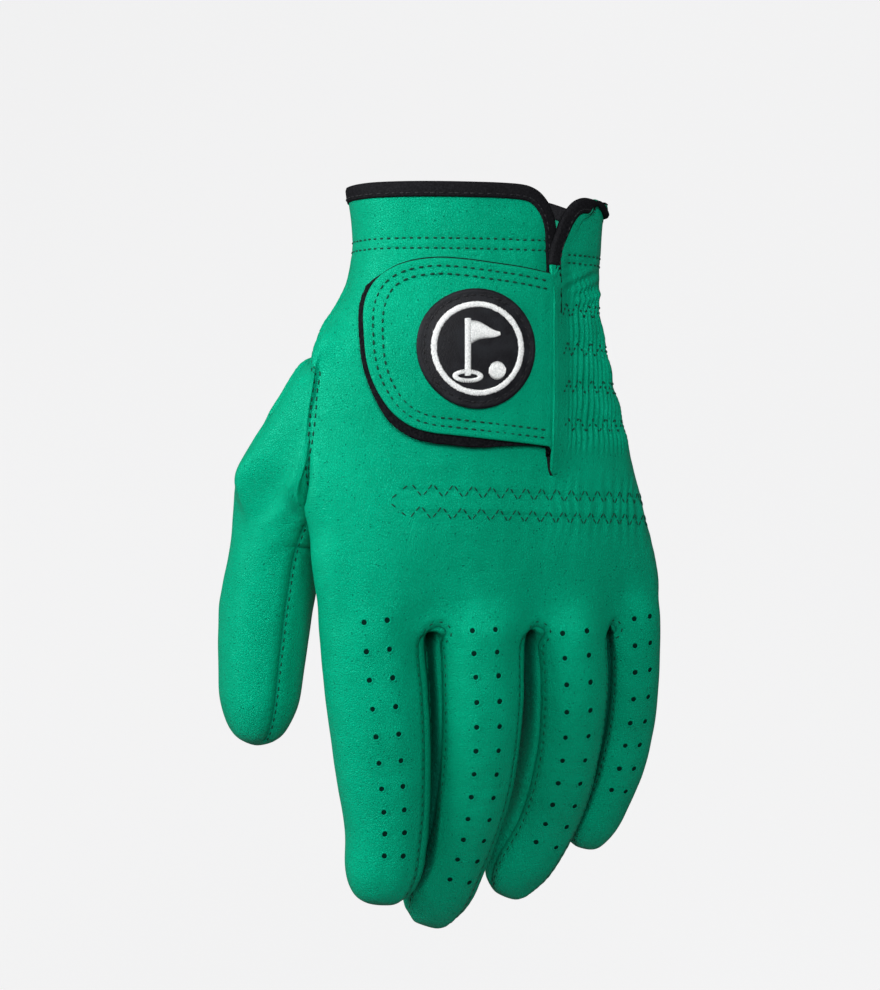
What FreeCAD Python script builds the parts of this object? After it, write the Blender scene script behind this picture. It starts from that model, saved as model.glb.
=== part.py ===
"""A left-hand golf glove in cabretta leather, worn shape: cuff up, fingers down.

Millimetres. The origin is the middle of the wrist opening, +Z points out of it, the back of the
hand faces -Y and the thumb is on the -X side. Every leather panel is a thin closed solid.
"""
import FreeCAD, Part
import math
import os

V = FreeCAD.Vector

# ---- driving dimensions -------------------------------------------------------------------
LEATHER = 0.7          # thickness of the glove leather
SEAM_GAP = 0.12        # room between two panels that a seam joins
LAYER_GAP = 0.08       # room between layers that are sewn together
CORNER = 2.35          # superellipse exponent of every cross section
BODY_GAP = 0.2         # each side of a fold stands this far back from it

SLIT_X = 15.6          # the slit in the back, from the cuff down to SLIT_END
SLIT_WIDE = 0.7
SLIT_END = -74.0
NOTCH_Z = -14.5        # above this the slit opens out to the cuff
NOTCH_WIDE = 9.0       # how wide the notch is at the cuff edge

TAB_TOP, TAB_BOTTOM = -19.0, -66.5      # the closing tab
TAB_LEFT, TAB_RIGHT = -34.2, 13.0
TAB_ROUND = 19.0       # corner radius of its free end
TAB_OPENS = 105.0
BADGE = (-6.5, -42.5)  # middle of the round badge on the tab, X and Z
BADGE_R = 15.7
RING_R, RING_WIDE = 12.8, 1.5

SHIRR_Z = (-31.6, -42.0, -52.0, -62.2)  # the gathering elastics beside the slit
KNUCKLE_Z, KNUCKLE_HIGH = -84.1, 8.0    # the elastic across the knuckles
THREAD = 0.22          # radius of the sewing thread

# Cross sections of the hand, cuff to finger roots:
# height, middle x, middle y, half width, depth to the back, depth to the palm, roll in degrees
HAND = [
    (0, 0.2, 0, 35.6, 20.5, 20.5, 0),
    (-14, 0.4, 0, 34.3, 19.5, 19.5, 0),
    (-28, -1.2, 0, 35.4, 18.8, 19.0, 0),
    (-41, -2.6, 0, 39.2, 18.2, 18.6, 1),
    (-55, -2.3, 0, 42.6, 17.4, 18.0, 2),
    (-69, -0.8, 0.2, 45.2, 16.6, 17.0, 3),
    (-83, 0.8, 0.6, 48.0, 15.8, 15.8, 4),
    (-97, 3.2, 1.2, 49.8, 14.8, 14.4, 5),
    (-109, 4.8, 1.8, 50.2, 13.8, 13.4, 6),
    (-122, 5.8, 2.6, 49.6, 12.8, 12.8, 7),
]
FOLD_Z = -122.0        # where the fingers fold away from the hand
WEB_Z = -117.0         # the bottom of the slots between the fingers

# Digits: points on the middle line from root to tip end, and at each point half width and half depth.
# facing is the way the back of the digit looks, in degrees from -Y towards +X. folds are the places
# of its two bends along the line, from 0 to 1, and swing is the direction its tip moves when it bends.
DIGITS = {
    "index": dict(
        line=[(-29.6, 0.5, -116), (-27.6, 1.8, -135), (-25.2, 4.2, -154), (-23.4, 7.6, -172),
              (-24.2, 11.0, -192)],
        wide=[13.7, 13.5, 12.6, 10.9, 9.4], deep=[12.0, 11.4, 10.6, 9.6, 8.4], facing=-10,
        folds=(0.085, 0.50), swing=(0, 1)),
    "middle": dict(
        line=[(-0.6, -2.8, -116), (0.5, -0.6, -136), (0.6, 5.0, -157), (-1.2, 14.0, -178),
              (-5.2, 26.0, -199)],
        wide=[12.2, 11.6, 10.8, 9.4, 8.6], deep=[12.0, 11.4, 10.6, 9.6, 8.4], facing=-4,
        folds=(0.075, 0.50), swing=(0, 1)),
    "ring": dict(
        line=[(25.4, -0.2, -116), (27.4, 3.0, -135), (27.9, 10.0, -154), (25.4, 19.4, -173),
              (18.8, 30.0, -192)],
        wide=[10.6, 10.2, 9.6, 9.0, 8.2], deep=[11.4, 10.8, 10.0, 9.0, 7.8], facing=2,
        folds=(0.085, 0.50), swing=(0, 1)),
    "little": dict(
        line=[(46.2, 5.4, -114), (48.0, 9.4, -130), (48.4, 15.6, -146), (47.2, 23.0, -163),
              (42.4, 31.0, -180)],
        wide=[8.8, 8.8, 8.5, 8.0, 7.0], deep=[9.8, 9.4, 8.8, 8.0, 6.8], facing=10,
        folds=(0.13, 0.50), swing=(0, 1)),
    "thumb": dict(
        line=[(-21.0, 8.0, -40), (-37.0, 14.0, -60), (-48.4, 19.5, -82), (-52.0, 23.0, -106),
              (-53.0, 25.0, -128), (-53.6, 26.0, -149)],
        wide=[13.0, 14.0, 13.4, 13.0, 11.4, 8.4], deep=[13.0, 13.5, 12.6, 12.2, 10.8, 8.0], facing=-80,
        folds=(0.48, 0.74), swing=(0.5, 0.87)),
}
FINGERS = ("index", "middle", "ring", "little")


# ---- cross sections -----------------------------------------------------------------------
def smooth(values, t):
    """Catmull-Rom curve through equally spaced values, for t from 0 to 1."""
    last = len(values) - 1
    i = min(int(t * last), last - 1)
    f = t * last - i
    p1, p2 = values[i], values[i + 1]
    p0 = values[i - 1] if i > 0 else 2 * p1 - p2
    p3 = values[i + 2] if i + 2 <= last else 2 * p2 - p1
    return 0.5 * (2 * p1 + (p2 - p0) * f + (2 * p0 - 5 * p1 + 4 * p2 - p3) * f**2
                  + (3 * p1 - p0 - 3 * p2 + p3) * f**3)


class Section:
    """One cross section: its middle, the directions across and out of the back, and its sizes."""

    def __init__(self, middle, across, back, wide, deep_back, deep_palm):
        self.middle, self.across, self.back = middle, across, back
        self.wide, self.deep_back, self.deep_palm = wide, deep_back, deep_palm

    def point(self, angle, out=0.0):
        """The outline at an angle in degrees: 0 little-finger side, 90 back, 180 thumb side, 270 palm."""
        c, s = math.cos(math.radians(angle)), math.sin(math.radians(angle))
        deep = self.deep_back if s > 0 else self.deep_palm
        x = (self.wide + out) * math.copysign(abs(c) ** (2 / CORNER), c)
        y = (deep + out) * math.copysign(abs(s) ** (2 / CORNER), s)
        return self.middle + self.across * x + self.back * y


def facing_axes(degrees):
    a = math.radians(degrees)
    return V(math.cos(a), math.sin(a), 0), V(math.sin(a), -math.cos(a), 0)


def hand_section(z):
    """The hand's cross section at height z, between the rows of HAND."""
    rows = HAND
    i = max(k for k in range(len(rows) - 1) if rows[k][0] >= z or k == 0)
    f = (z - rows[i][0]) / (rows[i + 1][0] - rows[i][0])
    t = (i + f) / (len(rows) - 1)
    x, y, wide, back, palm, roll = (smooth([r[k] for r in rows], t) for k in range(1, 7))
    across, out = facing_axes(roll)
    return Section(V(x, y, z), across, out, wide, back, palm)


def digit_section(name, t):
    """A digit's cross section at t, from 0 at its root to 1 at its tip end; it closes in past the last tenth."""
    d = DIGITS[name]
    at = [V(*(smooth([p[k] for p in d["line"]], u) for k in range(3))) for u in (max(t - 0.01, 0), min(t + 0.01, 1))]
    middle = V(*(smooth([p[k] for p in d["line"]], t) for k in range(3)))
    along = (at[1] - at[0]).normalize()
    out = facing_axes(d["facing"])[1]
    out = (out - along * out.dot(along)).normalize()
    across = along.cross(out)
    if across.dot(facing_axes(d["facing"])[0]) < 0:
        across = across * -1
    round_from = 0.88
    close = 1.0 if t <= round_from else math.sqrt(max(1 - ((t - round_from) / (1.005 - round_from)) ** 2, 0))
    wide, deep = smooth(d["wide"], t) * close, smooth(d["deep"], t) * close
    return Section(middle, across, out, wide, deep, deep)


# ---- solids -------------------------------------------------------------------------------
def band(sections, start, end, outer, inner, least=0.35):
    """A thin solid that follows sections between two angles, from inner to outer offset."""
    wires = []
    count = max(5, int((end - start) / 12) + 1)
    angles = [start + (end - start) * k / (count - 1) for k in range(count)]
    for s in sections:
        small = min(s.wide, s.deep_back, s.deep_palm)
        inside = max(inner, least - small)
        outside = [s.point(a, outer) for a in angles]
        within = [s.point(a, inside) for a in reversed(angles)]
        skin, lining = Part.BSplineCurve(), Part.BSplineCurve()
        skin.interpolate(outside)
        lining.interpolate(within)
        wires.append(Part.Wire([skin.toShape(), Part.makeLine(outside[-1], within[0]), lining.toShape(),
                                Part.makeLine(within[-1], outside[0])]))
    return Part.makeLoft(wires, True)


def core(sections, out):
    """The whole solid inside the sections, grown by out."""
    wires = []
    for s in sections:
        ring = Part.BSplineCurve()
        ring.interpolate([s.point(a, out) for a in range(0, 360, 15)], PeriodicFlag=True)
        wires.append(Part.Wire([ring.toShape()]))
    return Part.makeLoft(wires, True)


def prism(points, y_from=-60, y_to=0):
    """A solid with an outline of (X, Z) points, reaching along Y."""
    corners = [V(x, y_from, z) for x, z in points]
    return Part.Face(Part.makePolygon(corners + corners[:1])).extrude(V(0, y_to - y_from, 0))


def hand_rows(top, bottom, count=9):
    return [hand_section(top + (bottom - top) * k / (count - 1)) for k in range(count)]


def applied(outline, lift, thick, top=TAB_TOP + 4, bottom=TAB_BOTTOM - 6):
    """A layer lying on the back of the hand, lift above the leather, cut to an outline."""
    return band(hand_rows(top, bottom), 20, 160, lift + thick, lift).common(outline)


def back_surface(x, z, lift):
    """The point of the back of the hand at X and Z, lift above the leather."""
    s = hand_section(z)
    low, high = 8.0, 172.0
    for _ in range(40):
        mid = (low + high) / 2
        low, high = (mid, high) if s.point(mid, lift).x > x else (low, mid)
    return s.point(low, lift)


def stitches(points, pitch, length, closed=False):
    """Short threads laid end to end along a line of points, as separate solids."""
    points = points + points[:1] if closed else points
    reach = [0.0]
    for a, b in zip(points, points[1:]):
        reach.append(reach[-1] + (b - a).Length)
    count = max(1, int(reach[-1] / pitch))
    step = reach[-1] / count

    def at(d):
        i = max(k for k in range(len(points) - 1) if reach[k] <= d or k == 0)
        f = (d - reach[i]) / max(reach[i + 1] - reach[i], 1e-9)
        return points[i] + (points[i + 1] - points[i]) * min(f, 1.0)

    made = []
    for k in range(count):
        start, end = at(step * (k + 0.5) - length / 2), at(step * (k + 0.5) + length / 2)
        made.append(Part.makeCylinder(THREAD, (end - start).Length, start, end - start))
    return made


def drawn(outline, lift):
    """Points given as (X, Z), laid on the back of the hand."""
    return [back_surface(x, z, lift) for x, z in outline]


# ---- digits -------------------------------------------------------------------------------
def fold(name, which):
    """A bend of a digit: a point on its axis, the axis, the way the digit runs and the way it swings."""
    d = DIGITS[name]
    s = digit_section(name, d["folds"][which])
    swing = V(d["swing"][0], d["swing"][1], 0).normalize()
    along = s.back.cross(s.across)
    if along.z > 0:
        along = along * -1
    axis = along.cross(swing).normalize()
    swing = axis.cross(along)
    reach = min(s.wide, s.deep_palm) if name != "thumb" else 0.5 * (s.wide + s.deep_palm)
    return s.middle + swing * (FOLD_DEPTH * reach), axis, along, swing


def beyond(place, swings=None):
    """The space past a fold. With swings it is cut back so the digit can bend by (back, in) degrees."""
    point, axis, along, swing = place
    back, inward = (math.tan(math.radians(a)) for a in swings or (0, 0))
    far = 90.0
    start = point + along * BODY_GAP
    corners = [start, start + swing * far + along * (inward * far), start + swing * far + along * 150,
               start - swing * far + along * 150, start - swing * far + along * (back * far)]
    face = Part.Face(Part.makePolygon([c - axis * 60 for c in corners] + [corners[0] - axis * 60]))
    return face.extrude(axis * 120)


def before(place):
    point, axis, along, swing = place
    return beyond((point, axis, along * -1, swing))


FOLD_DEPTH = 0.62      # the bend axis stands this part of the way from the middle line to the palm
SWINGS = {             # degrees each digit bends back and in, at its root and at its middle
    "index": ((8, 25), (8, 55)),
    "middle": ((8, 35), (8, 55)),
    "ring": ((8, 35), (8, 55)),
    "little": ((8, 35), (8, 55)),
    "thumb": ((6, 20), (8, 40)),
}
# Panels of each digit by the angles they span: 0 faces the little-finger side, 90 is the back.
PANELS = {
    "index": {"trank": [(24, 336)], "fork": [(-23.3, 23.3)]},
    "middle": {"back": [(24, 156)], "palm": [(204, 336)], "forks": [(-23.3, 23.3), (156.7, 203.3)]},
    "ring": {"back": [(24, 156)], "palm": [(204, 336)], "forks": [(-23.3, 23.3), (156.7, 203.3)]},
    "little": {"back": [(0.6, 156)], "palm": [(204, 359.4)], "fork": [(156.7, 203.3)]},
    "thumb": {"outer": [(0.5, 179.5)], "inner": [(180.5, 359.5)]},
}
SEAMS = {"index": (31, 329), "middle": (31, 149, 211, 329), "ring": (31, 149, 211, 329), "little": (0, 149, 211),
         "thumb": (0, 180)}


def digit_rows(name, start, end):
    """Sections from start to end along a digit, closer together where the tip closes in."""
    ts = [start + (min(end, 0.88) - start) * k / 6 for k in range(7)]
    return [digit_section(name, t) for t in ts + ([0.93, 0.965, 0.985, 0.996] if end > 0.9 else [])]


def make_digit(name):
    swings = SWINGS[name]
    root, middle = fold(name, 0), fold(name, 1)
    spans = {
        "proximal": (beyond(root, swings[0]).common(before(middle)), DIGITS[name]["folds"][0] - 0.12,
                     DIGITS[name]["folds"][1] + 0.12),
        "distal": (beyond(middle, swings[1]), DIGITS[name]["folds"][1] - 0.12, 1.0),
    }
    for part, (space, start, end) in spans.items():
        rows = digit_rows(name, max(start, -0.04), end)
        for panel, arcs in PANELS[name].items():
            cut = [band(rows, a, b, 0, -LEATHER).common(space) for a, b in arcs]
            save(f"{name}_{part}_{panel}", *cut)
        lines = []
        for angle in SEAMS[name]:
            seam = [digit_section(name, start + (min(end, 0.97) - start) * k / 30).point(angle, THREAD + 0.1)
                    for k in range(31)]
            lines += stitches(seam, 3.2, 2.0)
        kept = [t for t in lines if space.common(t).Volume > 0.98 * t.Volume]
        save(f"{name}_{part}_stitching", *kept)


def save(name, *solids):
    whole = [s for part in solids for s in part.Solids]
    shape = whole[0] if len(whole) == 1 else Part.makeCompound(whole)
    shape.exportStep(f"parts/{name}.step")
    print(name, shape.isValid(), round(shape.Volume, 1), len(whole))


# ---- the hand -----------------------------------------------------------------------------
def notch():
    """The slit in the back and the notch it opens into at the cuff."""
    half = SLIT_WIDE / 2
    return prism([(SLIT_X - half, SLIT_END), (SLIT_X - half, NOTCH_Z), (SLIT_X - 3, 3), (SLIT_X + NOTCH_WIDE, 3),
                  (SLIT_X + half + 0.6, NOTCH_Z), (SLIT_X + half, SLIT_END)])


def web_slots():
    """Slots between the finger roots, right through the hand."""
    slots = []
    for near, far in zip(FINGERS, FINGERS[1:]):
        a, b = digit_section(near, 0.08), digit_section(far, 0.08)
        x = (a.middle.x + a.wide + b.middle.x - b.wide) / 2
        slots.append(prism([(x - 1, FOLD_Z - 3), (x - 1, WEB_Z - 1), (x, WEB_Z), (x + 1, WEB_Z - 1),
                            (x + 1, FOLD_Z - 3)], -40, 40))
    return slots


def swung(name, angle):
    """The palm side of a finger's first part, with a little room around it, bent in by an angle."""
    place = fold(name, 0)
    rows = digit_rows(name, -0.04, 0.34)
    side = band(rows, 186, 354, 0.2, -LEATHER - 0.2).common(beyond(place, SWINGS[name][0]))
    side.rotate(place[0], place[1], angle)
    return side


def make_hand():
    rows = hand_rows(0, -121.8, 19)
    thumb_rows = digit_rows("thumb", 0.0, DIGITS["thumb"]["folds"][0] + 0.1)
    thumb_core, hand_core = core(thumb_rows, SEAM_GAP), core(rows, SEAM_GAP)
    back = band(rows, 0.3, 168, 0, -LEATHER).cut(notch())
    palm = band(rows, 192, 359.7, 0, -LEATHER)
    edge = band(rows, 168.4, 191.6, 0, -LEATHER)
    for slot in web_slots():
        back, palm = back.cut(slot), palm.cut(slot)
    for name in ("index", "little"):
        for angle in range(2, SWINGS[name][0][1] + 2, 2):
            palm = palm.cut(swung(name, angle))
    palm = max(palm.Solids, key=lambda solid: solid.Volume)
    save("back_panel", back.cut(thumb_core))
    save("palm_panel", palm.cut(thumb_core))
    save("index_side_panel", edge.cut(thumb_core))
    stub = before(fold("thumb", 0))
    save("thumb_base_outer", band(thumb_rows, 0.5, 179.5, 0, -LEATHER).common(stub).cut(hand_core))
    save("thumb_base_inner", band(thumb_rows, 180.5, 359.5, 0, -LEATHER).common(stub).cut(hand_core))


def make_trim():
    """Bindings, elastics and the fixed half of the closure."""
    cut = notch()
    shell = band(hand_rows(0.9, -3.6, 4), 0.3, 359.7, 0.9, -LEATHER - 0.9)
    groove = band(hand_rows(0, -121.8, 19), 0.1, 359.9, 0.2, -LEATHER - 0.2)
    save("cuff_binding", shell.cut(groove).cut(groove.translated(V(0, 0, 0.2))).cut(cut))
    half = SLIT_WIDE / 2
    left = prism([(SLIT_X - half, NOTCH_Z), (SLIT_X - 2.6, -3.8), (SLIT_X - 6.0, -3.8),
                  (SLIT_X - 3.2, NOTCH_Z)])
    right = prism([(SLIT_X + 1.1, NOTCH_Z), (SLIT_X + 7.4, -3.8), (SLIT_X + 10.6, -3.8),
                   (SLIT_X + 3.9, NOTCH_Z)])
    low = prism([(SLIT_X - 2.0, -67.5), (SLIT_X - half, -67.5), (SLIT_X - half, SLIT_END),
                 (SLIT_X - 1.2, SLIT_END)])
    save("slit_binding", *(band(hand_rows(2, -80), 30, 90, 0.75, 0.08).common(part) for part in (left, right, low)))
    strips = []
    for z in SHIRR_Z:
        strip = band(hand_rows(z + 2.5, z - 2.5, 3), 4, 62, -LEATHER - LAYER_GAP, -LEATHER - 0.8)
        space = prism([(SLIT_X + 2, z + 4), (60, z + 4), (60, z - 4), (SLIT_X + 2, z - 4)])
        strips.append(strip.common(space))
    save("wrist_elastics", *strips)
    knuckle = band(hand_rows(KNUCKLE_Z + KNUCKLE_HIGH / 2, KNUCKLE_Z - KNUCKLE_HIGH / 2, 3), 5, 120,
                   -LEATHER - LAYER_GAP, -LEATHER - 0.8)
    save("knuckle_elastic", knuckle)
    save("loop_patch", applied(tab_outline(-2.5, 1.0), 0.08, 0.6))


# ---- the closing tab ----------------------------------------------------------------------
def tab_points(inset, right=TAB_RIGHT, drop=0.0):
    """Outline of the tab as (X, Z) points: round at its free end and open at the hinge end."""
    r = TAB_ROUND - inset
    x, top, bottom = TAB_LEFT + inset, TAB_TOP - inset, TAB_BOTTOM + inset - drop
    arc = [(x + r - r * math.sin(math.radians(a)), top - r + r * math.cos(math.radians(a)))
           for a in range(0, 91, 10)]
    arc += [(x + r - r * math.cos(math.radians(a)), bottom + r - r * math.sin(math.radians(a)))
            for a in range(0, 91, 10)]
    return [(right, top)] + arc + [(right, bottom)]


def tab_outline(grow, right_inset=0.0, drop=0.0):
    return prism(tab_points(-grow, TAB_RIGHT - right_inset, drop))


def disc(radius):
    return Part.makeCylinder(radius, 60, V(BADGE[0], -60, BADGE[1]), V(0, 1, 0))


def circle_points(radius):
    return [(BADGE[0] + radius * math.cos(math.radians(a)), BADGE[1] + radius * math.sin(math.radians(a)))
            for a in range(0, 360, 10)]


def laid_on(leather, threads):
    """Threads moved out along -Y until none of them sinks into the leather."""
    raised = []
    for thread in threads:
        while leather.common(thread).Volume > 0:
            thread = thread.translated(V(0, -0.1, 0))
        raised.append(thread.translated(V(0, -0.06, 0)))
    return raised


def make_tab():
    lift = 1.05
    save("hook_tape", applied(tab_outline(1.1, 0.0, 1.4), lift, 0.75))
    lift += 0.75 + LAYER_GAP
    leather = applied(tab_outline(0.0), lift, LEATHER + 0.1)
    save("tab_leather", leather)
    lift += LEATHER + 0.1 + LAYER_GAP
    rows = [stitches(drawn(tab_points(inset), lift + THREAD + 0.22), 2.75, 1.8) for inset in (2.1, 4.2)]
    away = disc(BADGE_R + 0.4)
    threads = [t for row in rows for t in row if not t.common(away).Volume]
    save("tab_stitching", *laid_on(leather, threads))
    save("badge_disc", applied(disc(BADGE_R), lift, 0.9))
    lift += 0.9 + LAYER_GAP
    save("badge_ring", applied(disc(RING_R).cut(disc(RING_R - RING_WIDE)), lift, 0.5))
    x, z = BADGE
    pole = [(x - 3.2, z + 6.8), (x - 2.3, z + 6.8), (x - 2.3, z - 5.2), (x - 3.2, z - 5.2)]
    flag = [(x - 2.2, z + 6.8), (x + 4.6, z + 4.2), (x - 2.2, z + 1.6)]
    cup = [(x - 5.6, z - 6.0), (x + 0.6, z - 6.0), (x + 0.6, z - 7.2), (x - 5.6, z - 7.2)]
    ball = Part.makeCylinder(2.0, 60, V(x + 4.4, -60, z - 5.2), V(0, 1, 0))
    shapes = (prism(pole), prism(flag), prism(cup), ball)
    save("badge_emblem", *(applied(shape, lift, 0.45) for shape in shapes))
    save("badge_stitching", *stitches(drawn(circle_points(14.2), lift + THREAD + 0.2), 2.2, 1.5, closed=True))


def make_stitching():
    lift = THREAD + 0.12
    hem = []
    for z in (-13.6, -16.2):
        line = [hand_section(z).point(a, lift) for a in range(4, 359, 6)]
        hem += stitches(line, 2.6, 1.5)
    clear = prism([(SLIT_X - 4.4, 0), (SLIT_X + 8.5, 0), (SLIT_X + 4.6, -20), (SLIT_X - 3.6, -20)])
    save("cuff_stitching", *(t for t in hem if not t.common(clear).Volume))
    zigzag = []
    for z, high in ((KNUCKLE_Z + 3.2, 1.5), (KNUCKLE_Z - 3.2, 1.5)):
        line = [(-22.0 + 2.85 * k, z + (high if k % 2 else -high)) for k in range(25)]
        zigzag += stitches(drawn(line, lift), 1.95, 1.3)
    save("knuckle_stitching", *zigzag)
    shirring = []
    for z in SHIRR_Z:
        line = [(SLIT_X + 2.2 + 1.6 * k, z + (1.6 if k % 2 else -1.6)) for k in range(13)]
        shirring += stitches(drawn([p for p in line if p[0] < hand_section(z).wide - 3.5], lift), 1.8, 1.1)
    save("shirring_stitching", *shirring)
    seam = []
    for x_shift in (0.0, 2.2):
        line = [(-35.8, -50), (-37.0, -58), (-38.2, -66), (-39.2, -74), (-40.0, -82)]
        seam += stitches(drawn([(x + x_shift, z) for x, z in line], lift), 2.6, 1.7)
    save("thumb_seam_stitching", *seam)


if __name__ == "__main__":
    os.makedirs("parts", exist_ok=True)
    make_hand()
    make_trim()
    make_tab()
    make_stitching()
    for digit in DIGITS:
        make_digit(digit)
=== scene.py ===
"""Looks of a left-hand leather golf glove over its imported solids: cuff up (+Z), back of the hand to -Y."""
import math

import bmesh
import bpy
import numpy as np
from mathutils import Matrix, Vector
from mathutils.bvhtree import BVHTree
from mathutils.geometry import delaunay_2d_cdt
from mathutils.kdtree import KDTree


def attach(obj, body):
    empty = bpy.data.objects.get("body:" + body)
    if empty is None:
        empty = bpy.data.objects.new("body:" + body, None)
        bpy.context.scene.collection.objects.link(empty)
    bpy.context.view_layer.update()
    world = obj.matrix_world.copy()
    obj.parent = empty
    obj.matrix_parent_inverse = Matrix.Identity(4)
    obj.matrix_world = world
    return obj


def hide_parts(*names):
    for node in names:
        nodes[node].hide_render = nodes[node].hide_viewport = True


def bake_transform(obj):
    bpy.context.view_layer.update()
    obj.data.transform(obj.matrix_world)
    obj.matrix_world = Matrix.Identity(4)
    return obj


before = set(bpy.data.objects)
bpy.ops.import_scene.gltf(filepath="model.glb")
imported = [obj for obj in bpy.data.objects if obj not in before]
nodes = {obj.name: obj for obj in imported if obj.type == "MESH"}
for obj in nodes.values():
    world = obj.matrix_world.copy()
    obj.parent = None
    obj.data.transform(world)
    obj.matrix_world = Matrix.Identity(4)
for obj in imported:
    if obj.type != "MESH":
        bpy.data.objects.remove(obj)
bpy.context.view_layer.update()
MM = 0.001                              # the script works in millimetres and scales as it makes meshes
CORNER = 2.35                           # how square a cross section is: 2 would be an ellipse

# ---- shape of the hand, as in the solids (millimetres) -------------------------------------
# height, middle x, middle y, half width, depth to the back, depth to the palm, roll in degrees
HAND = np.array([
    (0, 0.2, 0, 35.6, 20.5, 20.5, 0), (-14, 0.4, 0, 34.3, 19.5, 19.5, 0),
    (-28, -1.2, 0, 35.4, 18.8, 19.0, 0), (-41, -2.6, 0, 39.2, 18.2, 18.6, 1), (-55, -2.3, 0, 42.6, 17.4, 18.0, 2),
    (-69, -0.8, 0.2, 45.2, 16.6, 17.0, 3), (-83, 0.8, 0.6, 48.0, 15.8, 15.8, 4),
    (-97, 3.2, 1.2, 49.8, 14.8, 14.4, 5), (-109, 4.8, 1.8, 50.2, 13.8, 13.4, 6),
    (-122, 5.8, 2.6, 49.6, 12.8, 12.8, 7)], float)
# each digit: points on its middle line from root to tip, half widths and half depths there, the way its
# back faces in degrees from -Y towards +X, and the places of its two folds from 0 to 1
DIGITS = {
    "index": dict(
        line=[(-29.6, 0.5, -116), (-27.6, 1.8, -135), (-25.2, 4.2, -154), (-23.4, 7.6, -172),
              (-24.2, 11.0, -192)],
        wide=[13.7, 13.5, 12.6, 10.9, 9.4], deep=[12.0, 11.4, 10.6, 9.6, 8.4], facing=-10,
        folds=(0.085, 0.50)),
    "middle": dict(
        line=[(-0.6, -2.8, -116), (0.5, -0.6, -136), (0.6, 5.0, -157), (-1.4, 14.0, -178),
              (-7.2, 26.0, -199.6)],
        wide=[12.2, 11.6, 10.8, 9.4, 8.6], deep=[12.0, 11.4, 10.6, 9.6, 8.4], facing=-4,
        folds=(0.075, 0.50)),
    "ring": dict(
        line=[(25.4, -0.2, -116), (27.4, 3.0, -135), (27.9, 10.0, -154), (25.4, 19.4, -173),
              (17.0, 30.0, -193.4)],
        wide=[10.6, 10.2, 9.6, 9.0, 8.2], deep=[11.4, 10.8, 10.0, 9.0, 7.8], facing=2, folds=(0.085, 0.50)),
    "little": dict(
        line=[(45.3, 5.4, -114), (47.2, 9.4, -130), (47.9, 15.6, -146), (46.2, 23.0, -163),
              (40.6, 31.0, -181)],
        wide=[8.6, 8.4, 8.2, 7.8, 6.9], deep=[9.8, 9.4, 8.8, 8.0, 6.8], facing=10, folds=(0.13, 0.50)),
    "thumb": dict(
        line=[(-21.0, 8.0, -40), (-37.0, 14.0, -60), (-48.4, 19.5, -82), (-52.0, 23.0, -106),
              (-53.5, 25.0, -128), (-54.4, 26.0, -149.3)],
        wide=[13.0, 14.0, 13.4, 13.0, 11.4, 8.4], deep=[13.0, 13.5, 12.6, 12.4, 11.4, 9.0], facing=-80,
        folds=(0.48, 0.74)),
}
FINGERS = ("index", "middle", "ring", "little")
# how far a finger's sides swell into the slots beside it: little-finger side, thumb side
FULL = {"index": (1.2, 0), "middle": (1.2, 2.9), "ring": (0.8, 2.9), "little": (0, 1.5)}
SWELL_REACH = 48                        # degrees each way that a swell spreads round the section
WEB_Z = -117.0                          # bottom of the hand, where the fingers start
SLIT_X, SLIT_END = 15.6, -75.0
ROUND_FROM = 0.88                       # where along a digit its tip starts to close in


def smooth(values, t):
    """Catmull-Rom curve through equally spaced values, for t from 0 to 1."""
    values = np.asarray(values, float)
    last = len(values) - 1
    i = min(max(int(t * last), 0), last - 1)
    f = t * last - i
    p1, p2 = values[i], values[i + 1]
    p0 = values[i - 1] if i > 0 else 2 * p1 - p2
    p3 = values[i + 2] if i + 2 <= last else 2 * p2 - p1
    return spline(p0, p1, p2, p3, f)


def spline(p0, p1, p2, p3, f):
    """Between p1 and p2 at f, on the Catmull-Rom curve through four values."""
    bend, twist = 2 * p0 - 5 * p1 + 4 * p2 - p3, 3 * p1 - p0 - 3 * p2 + p3
    return 0.5 * (2 * p1 + (p2 - p0) * f + bend * f**2 + twist * f**3)


def facing_axes(degrees):
    """The ways across and out of a back that is turned by an angle."""
    a = math.radians(degrees)
    return np.array([math.cos(a), math.sin(a), 0]), np.array([math.sin(a), -math.cos(a), 0])


class Section:
    """A cross section: its middle, its directions across and out of the back, its half sizes."""

    def __init__(self, middle, across, back, wide, deep_back, deep_palm, full=(0.0, 0.0)):
        self.middle, self.across, self.back = middle, across, back
        self.wide, self.deep_back, self.deep_palm = wide, deep_back, deep_palm
        self.full = full                # how far each side swells out, little-finger side first

    def point(self, angle, out=0.0):
        """On the outline: 0 little-finger side, 90 back, 180 thumb side, 270 palm."""
        c, s = math.cos(math.radians(angle)), math.sin(math.radians(angle))
        deep = self.deep_back if s > 0 else self.deep_palm
        x = (self.wide + out) * math.copysign(abs(c) ** (2 / CORNER), c)
        y = (deep + out) * math.copysign(abs(s) ** (2 / CORNER), s)
        centre = -20 if c > 0 else 202
        off = abs((angle - centre + 180) % 360 - 180)
        swell = self.full[0 if c > 0 else 1]
        x += math.copysign(swell * math.cos(math.radians(min(off / SWELL_REACH, 1) * 90)) ** 1.3, c)
        return self.middle + self.across * x + self.back * y

    def at(self, c, side):
        """On the back (side 1) or palm (side -1), c of the half width from the middle."""
        angle = math.degrees(math.acos(math.copysign(abs(c) ** (CORNER / 2), c)))
        return self.point(angle if side > 0 else 360 - angle)


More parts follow.
